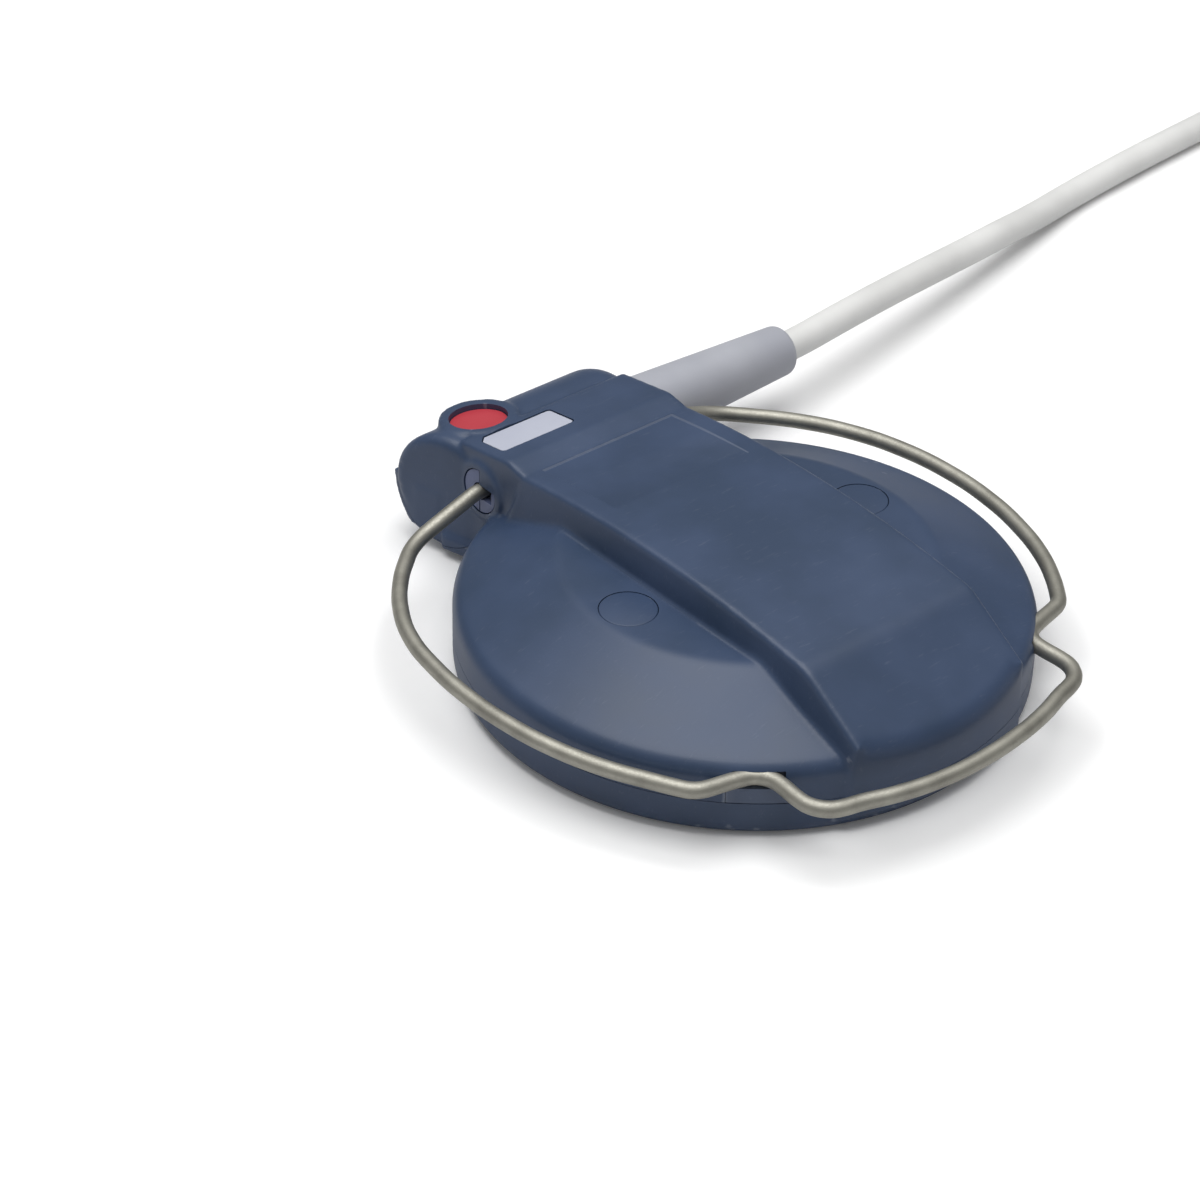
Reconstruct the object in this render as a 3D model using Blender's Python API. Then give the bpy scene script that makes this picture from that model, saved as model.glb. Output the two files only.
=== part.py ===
"""Belt-worn ultrasound transducer probe with a wire belt loop and a coiled cable.

Metres, +Z up. The round acoustic face lies on z = 0. The spine runs along Y, from the
front of the disc to the neck at +Y, and the cable leaves the neck along +X. The pieces
are drawn about the axis of the disc, and one empty moves them all, so that the origin
is under the middle of the probe's footprint.
"""
import math

import bmesh
import bpy
from mathutils import Matrix, Vector

for old in list(bpy.data.objects):
    bpy.data.objects.remove(old, do_unlink=True)

MM = 0.001
GAP = 0.3 * MM            # clearance left between pieces that touch
OVERLAP = 1.0 * MM        # how far joined forms and cutters run past each other

# Disc
DISC_RADIUS = 44.4 * MM
DISC_SIDES = 48
FACE_EDGE_RADIUS = 2.2 * MM
SHOULDER_Z = 12.1 * MM
SHOULDER_RADIUS = 2.8 * MM
CONE_WIDTH = 15.8 * MM    # sloping ring between the disc's edge and its plateau
PLATEAU_Z = 19.3 * MM
WALL = 2.0 * MM
WINDOW_THICKNESS = 1.6 * MM

# Parting line between the two housings, rim, lip and seal
PARTING_Z = 6.3 * MM
RIM_WIDTH = 5.4 * MM
LIP_WIDTH = 1.0 * MM
LIP_RISE = 1.5 * MM
SEAL_RADIUS = 0.75 * MM
SEAL_GROOVE = 2.4 * MM

# Spine, arched along Y
SPINE_HALF_WIDTH = 16.8 * MM
SPINE_DRAFT = 0.14
SPINE_EDGE_RADIUS = 0.8 * MM
ARCH_RADIUS = 215.0 * MM
ARCH_CROWN_Y = 3.2 * MM
ARCH_CROWN_Z = 25.1 * MM
CREASE_INSET = 13.9 * MM  # of the crease from the disc's front edge
FRONT_SLOPE = 0.64
FRONT_PROUD = 0.7 * MM
SPINE_WALL = 2.2 * MM
PANEL_HALF_WIDTH = 12.9 * MM
PANEL_MARGIN = 4.7 * MM   # between the panel and the platform's foot
PANEL_FRONT_Y = 6.0 * MM
PANEL_DEPTH = 0.35 * MM

# Raised platform on the neck, and what it carries. Insets and reaches on the neck are
# taken along Y from the disc's back edge.
PLATFORM_FOOT_INSET = 7.5 * MM
PLATFORM_RAMP = 1.7 * MM
PLATFORM_RISE = 1.1 * MM
PLATFORM_SLOPE = 0.158
PLATFORM_REACH = 4.0 * MM
NECK_HALF_WIDTH = 16.9 * MM
LABEL_LENGTH = 14.2 * MM
LABEL_WIDTH = 6.3 * MM
LABEL_THICKNESS = 0.5 * MM
LABEL_X = -7.1 * MM
LABEL_INSET = 0.8 * MM
BOSS_X = -10.6 * MM
BOSS_REACH = 7.1 * MM
BOSS_RADIUS = 5.4 * MM
BOSS_RISE = 0.9 * MM       # of the boss over the top of the barrel
CODE_DISC_RADIUS = 4.6 * MM
CODE_DISC_THICKNESS = 0.7 * MM
CODE_DISC_SUNK = 0.65 * MM

# Neck: a barrel along X, domed where the cable leaves it and flat at the other end
BARREL_REACH = 6.3 * MM
BARREL_RADIUS = 9.6 * MM
BACK_STEP = 0.7 * MM      # the platform's back edge stands this far above the barrel
DOME_START_X = 12.9 * MM
DOME_REACH = 7.8 * MM
BARREL_END_X = 20.6 * MM
BARREL_EDGE_RADIUS = 2.2 * MM
SCOOP_RADIUS = 5.9 * MM   # recess in the flat end that keeps it clear of the wire
CRADLE_WALL = 0.9 * MM
CRADLE_HALF_WIDTH = 20.0 * MM
DECK_Z = 4.5 * MM
DECK_FRONT_INSET = 2.9 * MM
NECK_CAVITY_RADIUS = 6.4 * MM
NECK_CAVITY_HALF_LENGTH = 12.0 * MM
PASSAGE_RADIUS = 2.2 * MM
PASSAGE_ABOVE_AXIS = 1.5 * MM

# Belt wire and what holds it. The loop is given from the disc's axis, as pairs of an
# angle in degrees and the distance in mm of the wire's middle from the disc's rim.
WIRE_RADIUS = 1.25 * MM
FRONT_CLEARANCE = 5.9     # distance at the very front
WIRE_RISE = 0.015         # the loop's plane rises this much towards the neck
RIGHT_SIDE = [(46.8, 7.5), (37.7, 7.2), (28.2, 6.85), (17.9, 6.2), (6.2, 5.35),
              (-5.0, 4.7), (-15.0, 4.3), (-24.0, 4.1), (-32.2, 3.8)]
LEFT_SIDE = [(43.1, 8.0), (34.5, 7.8), (26.0, 7.1), (17.5, 5.75), (8.0, 4.5),
             (-2.0, 3.6), (-13.0, 3.1), (-23.0, 2.9), (-31.6, 2.9)]
FRONT_ARC = [(-66.5, 6.5), (-73.0, 6.2), (-81.5, FRONT_CLEARANCE), (-90.0, FRONT_CLEARANCE),
             (-98.5, 6.1), (-107.0, 6.3), (-113.5, 6.5)]
SHOULDER_BEND = (53.5, 8.2)
SIDE_BEND = (-39.6, 3.6)
KINK = (-51.7, -2.1)
FRONT_BEND = (-59.1, 8.0)
KINK_Z = 10.5 * MM
PIVOT_INSET = 1.6 * MM
PIVOT_ABOVE_AXIS = 3.7 * MM
BUSH_FLANGE_RADIUS = 4.1 * MM
BUSH_FLANGE_THICKNESS = 1.1 * MM
BUSH_BODY_RADIUS = 2.2 * MM
BUSH_BODY_LENGTH = 3.2 * MM
BUSH_RING_RADIUS = 5.3 * MM
BUSH_RING_PROUD = 0.6 * MM
BUSH_SPLIT_WIDTH = 0.35 * MM
BUSH_SIDES = 24
POCKET_ANGLE = math.radians(50.5)
POCKET_HALF_WIDTH = 4.35 * MM
POCKET_ROOF_Z = 11.9 * MM
POCKET_DEPTH = 3.4 * MM
KEEPER_HALF_WIDTH = 4.6 * MM
POCKET_WALL = 1.4 * MM
KEEPER_PLATE = 1.55 * MM
KEEPER_SHELF = 1.05 * MM

# Case screws under their plugs
SCREW_INSET = 5.1 * MM    # of the screws from the plateau's edge
SCREW_SHANK_RADIUS = 1.5 * MM
SCREW_HEAD_RADIUS = 2.9 * MM
SCREW_HEAD_HEIGHT = 1.9 * MM
COLUMN_RADIUS = 5.8 * MM
POST_RADIUS = 4.0 * MM
PLUG_RADIUS = 4.4 * MM
PLUG_THICKNESS = 2.3 * MM
SCREW_SEAT_Z = 12.6 * MM
SCREW_SIDES = 24

# Sensor stack and electronics
CRYSTAL_RADIUS = 5.5 * MM
CRYSTAL_THICKNESS = 1.2 * MM
CRYSTAL_RING_RADIUS = 20.0 * MM
CRYSTAL_COUNT = 6
CRYSTAL_SIDES = 14
CARRIER_CLEARANCE = 3.0 * MM
CARRIER_THICKNESS = 1.8 * MM
FOAM_THICKNESS = 2.0 * MM
BOARD_CLEARANCE = 4.5 * MM
BOARD_THICKNESS = 1.5 * MM
BOARD_Z = 8.8 * MM
CAN_SIZE = (22.0 * MM, 18.0 * MM, 4.0 * MM)
CAN_Y = -6.0 * MM
HEADER_SIZE = (8.0 * MM, 5.0 * MM, 3.4 * MM)
HEADER_INSET = 9.9 * MM   # of the header from the platform's foot
LEAD_RADIUS = 0.5 * MM
LEAD_SPREAD = 0.9 * MM

# Strain relief and cable
BOOT_BEFORE_AXIS = 0.1 * MM
BOOT_BELOW_AXIS = 0.5 * MM
BOOT_START_X = 20.6 * MM
BOOT_TIP_X = 54.4 * MM
BOOT_ROOT_RADIUS = 5.85 * MM
BOOT_TIP_RADIUS = 4.35 * MM
BOOT_EDGE_RADIUS = 1.2 * MM
BOOT_SHANK_RADIUS = 3.0 * MM
BOOT_FLANGE_RADIUS = 4.4 * MM
BOOT_FLANGE_THICKNESS = 1.7 * MM
COLLAR_RADIUS = 6.1 * MM
CABLE_RADIUS = 2.65 * MM
FERRULE_THICKNESS = 0.7 * MM
FERRULE_LENGTH = 4.0 * MM

# Coil of the stored length, its tie and the plug at the end of the cable
COIL_X = 232.0 * MM
COIL_Y = 35.0 * MM
COIL_MEAN_RADIUS = 29.1 * MM
COIL_TURNS_ACROSS = 3
COIL_LAYERS = 4
TIE_THICKNESS = 0.5 * MM
TIE_WIDTH = 6.0 * MM
PLUG_GRIP_RADIUS = 8.0 * MM
PLUG_GRIP_LENGTH = 20.0 * MM
PLUG_SHELL_RADIUS = 6.6 * MM
PLUG_SHELL_WALL = 0.9 * MM
PLUG_SHELL_LENGTH = 13.0 * MM
PLUG_BOOT_LENGTH = 17.0 * MM
PLUG_BOOT_RADIUS = 5.0 * MM
PLUG_BOOT_END_Y = 4.0 * MM
PIN_RADIUS = 0.6 * MM
PIN_LENGTH = 8.0 * MM
PIN_CIRCLE = 3.0 * MM
PIN_COUNT = 6

# Values that follow from the sizes above
PLATEAU_RADIUS = DISC_RADIUS - CONE_WIDTH
CREASE_Y = CREASE_INSET - DISC_RADIUS
PLATFORM_FOOT_Y = DISC_RADIUS - PLATFORM_FOOT_INSET
PLATFORM_BACK_Y = DISC_RADIUS + PLATFORM_REACH
PANEL_BACK_Y = PLATFORM_FOOT_Y - PANEL_MARGIN
LABEL_Y = DISC_RADIUS - LABEL_INSET
BOSS_Y = DISC_RADIUS + BOSS_REACH
BARREL_Y = DISC_RADIUS + BARREL_REACH
BOOT_Y = BARREL_Y - BOOT_BEFORE_AXIS
DECK_FRONT_Y = DISC_RADIUS - DECK_FRONT_INSET
PIVOT_Y = DISC_RADIUS - PIVOT_INSET
SCREW_X = PLATEAU_RADIUS - SCREW_INSET
RIM_INNER_RADIUS = DISC_RADIUS - RIM_WIDTH
CAVITY_RADIUS = DISC_RADIUS - WALL
CARRIER_RADIUS = RIM_INNER_RADIUS - CARRIER_CLEARANCE
BOARD_RADIUS = RIM_INNER_RADIUS - BOARD_CLEARANCE
HEADER_Y = PLATFORM_FOOT_Y - HEADER_INSET
CRYSTAL_Z = WINDOW_THICKNESS + GAP
FOAM_Z = CRYSTAL_Z + CARRIER_THICKNESS + GAP
BOARD_TOP_Z = BOARD_Z + BOARD_THICKNESS
WIRE_ENVELOPE = WIRE_RADIUS + GAP
KEEPER_TOP_Z = KINK_Z - WIRE_ENVELOPE
POCKET_BACK_RADIUS = DISC_RADIUS - POCKET_DEPTH
CRADLE_RADIUS = BARREL_RADIUS
CRADLE_OUTER_RADIUS = CRADLE_RADIUS + CRADLE_WALL
COLLAR_END_X = BOOT_START_X - GAP
CABLE_DIAMETER = 2 * CABLE_RADIUS
COIL_HALF_WIDTH = COIL_TURNS_ACROSS * CABLE_RADIUS
COIL_OUTER_RADIUS = COIL_MEAN_RADIUS + COIL_HALF_WIDTH
COIL_BOTTOM_Z = TIE_THICKNESS + GAP
COIL_HEIGHT = COIL_LAYERS * CABLE_DIAMETER
FRONT_REACH = DISC_RADIUS + FRONT_CLEARANCE * MM + WIRE_RADIUS
BACK_REACH = BARREL_Y + CRADLE_OUTER_RADIUS
ALONG_X = Matrix.Rotation(math.radians(90), 4, "Y")
ALONG_Y = Matrix.Rotation(math.radians(-90), 4, "X")


def arch_z(y):
    """Height of the spine's arched top."""
    return ARCH_CROWN_Z - (y - ARCH_CROWN_Y) ** 2 / (2 * ARCH_RADIUS)


def spine_top(y):
    """Height of the top line from the front slope over the arch to the platform."""
    top_y = PLATFORM_FOOT_Y + PLATFORM_RAMP
    if y < CREASE_Y:
        return arch_z(CREASE_Y) - FRONT_SLOPE * (CREASE_Y - y)
    if y <= PLATFORM_FOOT_Y:
        return arch_z(y)
    platform_z = arch_z(PLATFORM_FOOT_Y) + PLATFORM_RISE
    if y < top_y:
        share = (y - PLATFORM_FOOT_Y) / PLATFORM_RAMP
        return arch_z(PLATFORM_FOOT_Y) * (1 - share) + platform_z * share
    return platform_z - PLATFORM_SLOPE * (y - top_y)


def barrel_rise(y):
    """Height of the barrel's surface over its own axis."""
    return math.sqrt(BARREL_RADIUS ** 2 - (y - BARREL_Y) ** 2)


BARREL_Z = spine_top(PLATFORM_BACK_Y) - BACK_STEP - barrel_rise(PLATFORM_BACK_Y)
BOOT_Z = BARREL_Z - BOOT_BELOW_AXIS
PASSAGE_Z = BARREL_Z + PASSAGE_ABOVE_AXIS
PIVOT_Z = BARREL_Z + PIVOT_ABOVE_AXIS
BOSS_TOP_Z = BARREL_Z + BARREL_RADIUS + BOSS_RISE


def on_platform(x, y, lift):
    """Matrix of a frame on the platform's sloping top, or lifted off it."""
    tilt = Matrix.Rotation(-math.atan(PLATFORM_SLOPE), 4, "X")
    return Matrix.Translation((x, y, spine_top(y))) @ tilt @ Matrix.Translation((0, 0, lift))


# Making, joining and finishing shapes

def surface(name, color, roughness, metallic=0.0):
    material = bpy.data.materials.new(name)
    material.use_nodes = True
    shader = material.node_tree.nodes["Principled BSDF"]
    shader.inputs["Base Color"].default_value = (*color, 1.0)
    shader.inputs["Roughness"].default_value = roughness
    shader.inputs["Metallic"].default_value = metallic
    return material


def as_object(name, shape):
    """Turn a bmesh into an object with its faces pointing out."""
    bmesh.ops.remove_doubles(shape, verts=shape.verts, dist=0.001 * MM)
    bmesh.ops.recalc_face_normals(shape, faces=shape.faces)
    mesh = bpy.data.meshes.new(name)
    shape.to_mesh(mesh)
    shape.free()
    thing = bpy.data.objects.new(name, mesh)
    bpy.context.scene.collection.objects.link(thing)
    return thing


def place(thing, matrix):
    """Move an object's mesh, so that the object itself stays at the origin."""
    thing.data.transform(matrix)
    return thing


def lathe(name, profile, sides):
    """Closed profile of (radius, height) points turned about the Z axis."""
    shape = bmesh.new()
    points = [shape.verts.new((radius, 0, height)) for radius, height in profile]
    edges = [shape.edges.new((a, b)) for a, b in zip(points, points[1:] + points[:1])]
    bmesh.ops.spin(shape, geom=points + edges, axis=(0, 0, 1), cent=(0, 0, 0),
                   angle=2 * math.pi, steps=sides, use_merge=True)
    bmesh.ops.remove_doubles(shape, verts=shape.verts, dist=0.001 * MM)
    bmesh.ops.dissolve_degenerate(shape, edges=shape.edges, dist=0.001 * MM)
    wires = [edge for edge in shape.edges if not edge.link_faces]
    bmesh.ops.delete(shape, geom=wires, context="EDGES")
    poles = [vert for vert in shape.verts if math.hypot(vert.co.x, vert.co.y) < 0.01 * MM
             and all(abs(edge.other_vert(vert).co.z - vert.co.z) < 0.001 * MM
                     for edge in vert.link_edges)]
    bmesh.ops.dissolve_verts(shape, verts=poles)
    return as_object(name, shape)


def prism(name, outline, low, high):
    """Outline of (x, y) points extruded from one height to another."""
    shape = bmesh.new()
    base = shape.faces.new([shape.verts.new((x, y, low)) for x, y in outline])
    grown = bmesh.ops.extrude_face_region(shape, geom=[base])
    moved = [item for item in grown["geom"] if isinstance(item, bmesh.types.BMVert)]
    bmesh.ops.translate(shape, verts=moved, vec=(0, 0, high - low))
    return as_object(name, shape)


def side_prism(name, outline, low, high):
    """Outline of (y, z) points extruded along X."""
    thing = prism(name, outline, low, high)
    turn = Matrix(((0, 0, 1, 0), (1, 0, 0, 0), (0, 1, 0, 0), (0, 0, 0, 1)))
    return place(thing, turn)


def box(name, low, high):
    corners = [(low[0], low[1]), (high[0], low[1]), (high[0], high[1]), (low[0], high[1])]
    return prism(name, corners, low[2], high[2])


def rod(name, radius, low, high, sides=24):
    """Plain cylinder about the Z axis."""
    return lathe(name, [(0, low), (radius, low), (radius, high), (0, high)], sides)


def loft(name, rings):
    """Rings of as many points each, joined by quads and closed at both ends."""
    shape = bmesh.new()
    rows = [[shape.verts.new(point) for point in ring] for ring in rings]
    for first, second in zip(rows, rows[1:]):
        for index in range(len(first)):
            after = (index + 1) % len(first)
            shape.faces.new((first[index], first[after], second[after], second[index]))
    shape.faces.new(rows[0])
    shape.faces.new(rows[-1])
    return as_object(name, shape)


def tube(name, points, radius, resolution=2, closed=False):
    """Round wire or cord along a list of points."""
    data = bpy.data.curves.new(name, "CURVE")
    data.dimensions = "3D"
    data.bevel_depth = radius
    data.bevel_resolution = resolution
    data.resolution_u = 1
    data.use_fill_caps = not closed
    spline = data.splines.new("POLY")
    spline.points.add(len(points) - 1)
    for point, place_at in zip(spline.points, points):
        point.co = (*place_at, 1.0)
    spline.use_cyclic_u = closed
    thing = bpy.data.objects.new(name, data)
    bpy.context.scene.collection.objects.link(thing)
    return thing


def bake(thing):
    """Replace an object's data by what its modifiers make of it."""
    graph = bpy.context.evaluated_depsgraph_get()
    mesh = bpy.data.meshes.new_from_object(thing.evaluated_get(graph))
    thing.modifiers.clear()
    thing.data = mesh
    return thing


def mesh_tube(name, points, radius, resolution):
    """Tube as a mesh, for cutting with."""
    curve = tube(name, points, radius, resolution)
    graph = bpy.context.evaluated_depsgraph_get()
    mesh = bpy.data.meshes.new_from_object(curve.evaluated_get(graph))
    bpy.data.objects.remove(curve, do_unlink=True)
    thing = bpy.data.objects.new(name, mesh)
    bpy.context.scene.collection.objects.link(thing)
    return thing


def combine(thing, tool, operation):
    """Unite, cut or intersect an object with a tool, which is used up."""
    modifier = thing.modifiers.new("Combine", "BOOLEAN")
    modifier.operation = operation
    modifier.object = tool
    bake(thing)
    bpy.data.objects.remove(tool, do_unlink=True)
    return thing


def join_all(thing, tools):
    for tool in tools:
        combine(thing, tool, "UNION")
    return thing


def cut_all(thing, tools):
    for tool in tools:
        combine(thing, tool, "DIFFERENCE")
    return thing


def copy_of(thing, name):
    twin = bpy.data.objects.new(name, thing.data.copy())
    bpy.context.scene.collection.objects.link(twin)
    return twin


def finish(thing, name, material, angle=35.0):
    """Name a piece, give it its material and hang it on the probe's frame."""
    thing.name = name
    thing.data.name = name
    thing.data.materials.clear()
    thing.data.materials.append(material)
    if thing.type == "MESH":
        thing.data.shade_smooth()
        thing.data.set_sharp_from_angle(angle=math.radians(angle))
    thing.parent = probe_frame
    return thing


def arc(center, radius, start, end, steps):
    """Points on an arc, angles in degrees, both ends included."""
    angles = [math.radians(start + (end - start) * i / steps) for i in range(steps + 1)]
    return [(center[0] + radius * math.cos(a), center[1] + radius * math.sin(a)) for a in angles]


def bent_path(corners, steps=5):
    """Polyline with its corners rounded: each corner is a point and a bend radius."""
    points = [Vector(point) for point, radius in corners]
    path = [points[0]]
    for before, here, after, (_, radius) in zip(points, points[1:], points[2:], corners[1:]):
        inward = (before - here).normalized()
        outward = (after - here).normalized()
        half = inward.angle(outward) / 2
        if radius == 0 or half > math.radians(89):
            path.append(here)
            continue
        reach = radius / math.tan(half)
        middle = here + (inward + outward).normalized() * (radius / math.sin(half))
        first = (here + inward * reach - middle).normalized()
        last = (here + outward * reach - middle).normalized()
        path += [middle + first.slerp(last, i / steps) * radius for i in range(steps + 1)]
    return path + [points[-1]]


def smooth_path(route, spacing):
    """Evenly spaced points on a Catmull-Rom curve through the route's points."""
    points = [Vector(point) for point in route]
    points = [points[0] * 2 - points[1]] + points + [points[-1] * 2 - points[-2]]
    dense = []
    for a, b, c, d in zip(points, points[1:], points[2:], points[3:]):
        for i in range(24):
            t = i / 24
            dense.append(((2 * b) + (c - a) * t + (2 * a - 5 * b + 4 * c - d) * t ** 2
                          + (3 * b - 3 * c + d - a) * t ** 3) / 2)
    dense.append(points[-2])
    length = sum((q - p).length for p, q in zip(dense, dense[1:]))
    count = max(2, round(length / spacing))
    even = [dense[0]]
    walked = 0.0
    for p, q in zip(dense, dense[1:]):
        step = (q - p).length
        while len(even) < count and walked + step >= length * len(even) / count:
            even.append(p.lerp(q, (length * len(even) / count - walked) / step))
        walked += step
    return even + [dense[-1]]


# The probe's outer form, which both housings are cut from

def disc_form():
    edge = arc((DISC_RADIUS - FACE_EDGE_RADIUS, FACE_EDGE_RADIUS), FACE_EDGE_RADIUS, -90, 0, 3)
    slope = math.atan2(PLATEAU_Z - SHOULDER_Z, DISC_RADIUS - PLATEAU_RADIUS)
    drop = SHOULDER_RADIUS * (1 - math.sin(slope)) / math.cos(slope)
    shoulder = arc((DISC_RADIUS - SHOULDER_RADIUS, SHOULDER_Z - drop),
                   SHOULDER_RADIUS, 0, 90 - math.degrees(slope), 4)
    profile = [(0, 0)] + edge + shoulder + [(PLATEAU_RADIUS, PLATEAU_Z), (0, PLATEAU_Z)]
    return lathe("disc", profile, DISC_SIDES)


def spine_ring(y, low, inset=0.0):
    """Cross-section of the spine or the platform: drafted sides and rounded top edges."""
    top = spine_top(y) - inset
    radius = SPINE_EDGE_RADIUS
    neck = y > PLATFORM_FOOT_Y
    half = (NECK_HALF_WIDTH if neck else SPINE_HALF_WIDTH) - inset
    foot = half
    if y < CREASE_Y:
        foot = half + GAP
    elif not neck:
        foot = half + SPINE_DRAFT * (top - low)
    left = arc((-half + radius, top - radius), radius, 180, 90, 2)
    right = arc((half - radius, top - radius), radius, 90, 0, 2)
    outline = [(-foot, low)] + left + right + [(foot, low)]
    return [(x, y, z) for x, z in outline]


def spine_form():
    """Front slope, arch and platform in one lofted body, trimmed round at the front."""
    arch_steps = 8
    arch_ys = [CREASE_Y + (PLATFORM_FOOT_Y - CREASE_Y) * i / arch_steps
               for i in range(arch_steps + 1)]
    platform_top_y = PLATFORM_FOOT_Y + PLATFORM_RAMP
    stations = [-DISC_RADIUS - OVERLAP] + arch_ys + [platform_top_y, PLATFORM_BACK_Y]
    body = loft("spine", [spine_ring(y, FACE_EDGE_RADIUS + GAP) for y in stations])
    reach = DISC_RADIUS + FRONT_PROUD
    outside = arc((0, 0), reach, 200, 340, 28) + [(reach + 20 * MM, -reach / 3),
                                                 (reach + 20 * MM, -reach - 20 * MM),
                                                 (-reach - 20 * MM, -reach - 20 * MM),
                                                 (-reach - 20 * MM, -reach / 3)]
    return cut_all(body, [prism("front_trim", outside, -OVERLAP, ARCH_CROWN_Z)])


def barrel_form():
    """Barrel of the neck: flat at one end, domed where the cable leaves it."""
    edge = BARREL_EDGE_RADIUS
    flat = [(radius, -height) for radius, height in
            arc((BARREL_RADIUS - edge, BARREL_END_X - edge), edge, 90, 0, 3)]
    limit = (COLLAR_END_X - GAP - DOME_START_X) / DOME_REACH
    dome = [math.asin(limit) * i / 5 for i in range(6)]
    profile = [(0, -BARREL_END_X)] + flat
    profile += [(BARREL_RADIUS * math.cos(a), DOME_START_X + DOME_REACH * math.sin(a)) for a in dome]
    profile.append((0, profile[-1][1]))
    barrel = lathe("barrel", profile, 32)
    place(barrel, Matrix.Translation((0, BARREL_Y, BARREL_Z)) @ ALONG_X)
    return cut_all(barrel, [scoop_cutter()])


def scoop_cutter():
    """Recess in the barrel's flat end, round the wire's pivot and open to the front."""
    front = BARREL_Y - BARREL_RADIUS - OVERLAP
    top = BARREL_Z + BARREL_RADIUS + OVERLAP
    outline = arc((PIVOT_Y, PIVOT_Z), SCOOP_RADIUS, 0, -90, 6)
    outline += [(front, PIVOT_Z - SCOOP_RADIUS), (front, top), (PIVOT_Y + SCOOP_RADIUS, top)]
    return side_prism("scoop", outline, -BARREL_END_X - OVERLAP, -NECK_HALF_WIDTH + OVERLAP / 2)


def cradle_form():
    """Deck and round-bottomed cradle that carry the barrel."""
    low = BARREL_Z - CRADLE_OUTER_RADIUS
    inside = BARREL_Y - barrel_rise(BARREL_Y) * 0.5
    outline = arc((BARREL_Y, BARREL_Z), CRADLE_OUTER_RADIUS, 0, -90, 9)
    outline += [(DISC_RADIUS - 8 * MM, low), (DISC_RADIUS - 8 * MM, DECK_Z), (inside, DECK_Z),
                (BARREL_Y, BARREL_Z)]
    return side_prism("cradle", outline, -CRADLE_HALF_WIDTH, CRADLE_HALF_WIDTH)


def boss_form():
    edge = GAP
    body = lathe("boss", [(0, -6 * MM), (BOSS_RADIUS, -6 * MM), (BOSS_RADIUS, -edge),
                          (BOSS_RADIUS - edge, 0), (0, 0)], 32)
    return place(body, Matrix.Translation((BOSS_X, BOSS_Y, BOSS_TOP_Z)))


def outer_form():
    body = disc_form()
    collar = rod("collar", COLLAR_RADIUS, NECK_HALF_WIDTH - 3 * MM, COLLAR_END_X, 32)
    place(collar, Matrix.Translation((0, BOOT_Y, BOOT_Z)) @ ALONG_X)
    rings = []
    for side in (-1, 1):
        ring = rod("bush_ring", BUSH_RING_RADIUS, side * (NECK_HALF_WIDTH - OVERLAP),
                   side * (NECK_HALF_WIDTH + BUSH_RING_PROUD), BUSH_SIDES)
        rings.append(place(ring, Matrix.Translation((0, PIVOT_Y, PIVOT_Z)) @ ALONG_X))
    return join_all(body, [spine_form(), barrel_form(), cradle_form(), collar, boss_form()] + rings)


def parting_line(offset):
    """Points (y, z) of the joint: level round the disc, then round under the barrel."""
    radius = CRADLE_RADIUS - offset
    start = math.degrees(math.asin((DECK_Z + offset - BARREL_Z) / radius))
    level = [(-0.1, PARTING_Z + offset), (DECK_FRONT_Y + offset, PARTING_Z + offset),
             (DECK_FRONT_Y + OVERLAP + offset, DECK_Z + offset)]
    return level + arc((BARREL_Y, BARREL_Z), radius, -180 - start, 0, 12) + [
        (0.1, BARREL_Z)]


def region(above):
    """Everything above, or below, the parting line, less half the clearance."""
    far = 0.1 if above else -0.1
    line = parting_line(GAP / 2 if above else -GAP / 2)
    return side_prism("region", line + [(0.1, far), (-0.1, far)], -0.1, 0.1)


# Housings

def at_pocket(thing, side):
    """Turn a shape drawn along +X to the rim pocket on one side of the disc."""
    angle = -POCKET_ANGLE if side > 0 else math.pi + POCKET_ANGLE
    return place(thing, Matrix.Rotation(angle, 4, "Z"))


def on_loop(spot, side=1):
    """Point of the wire's loop at an angle and a distance in mm from the disc's rim."""
    angle = math.radians(spot[0])
    radius = DISC_RADIUS + spot[1] * MM
    x = side * radius * math.cos(angle)
    y = radius * math.sin(angle)
    return (x, y, KINK_Z + WIRE_RISE * (y - kink_y()))


def kink_y():
    return (DISC_RADIUS + KINK[1] * MM) * math.sin(math.radians(KINK[0]))


def wire_side(side, spots):
    """One half of the loop: stub, shoulder bend, side and the kink into the rim."""
    corners = [((side * (NECK_HALF_WIDTH - BUSH_BODY_LENGTH), PIVOT_Y, PIVOT_Z), 0),
               ((side * (NECK_HALF_WIDTH + 1.3 * MM), PIVOT_Y, PIVOT_Z), 4 * MM),
               (on_loop(SHOULDER_BEND, side), 9 * MM)]
    corners += [(on_loop(spot, side), 0) for spot in spots]
    return corners + [(on_loop(SIDE_BEND, side), 5 * MM), (on_loop(KINK, side), 3 * MM),
                      (on_loop(FRONT_BEND, side), 5.5 * MM)]


def belt_wire_path():
    """From the right stub round the front of the loop to the left stub."""
    front = [(on_loop(spot), 0) for spot in FRONT_ARC]
    return bent_path(wire_side(1, RIGHT_SIDE) + front + wire_side(-1, LEFT_SIDE)[::-1], 3)


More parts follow.
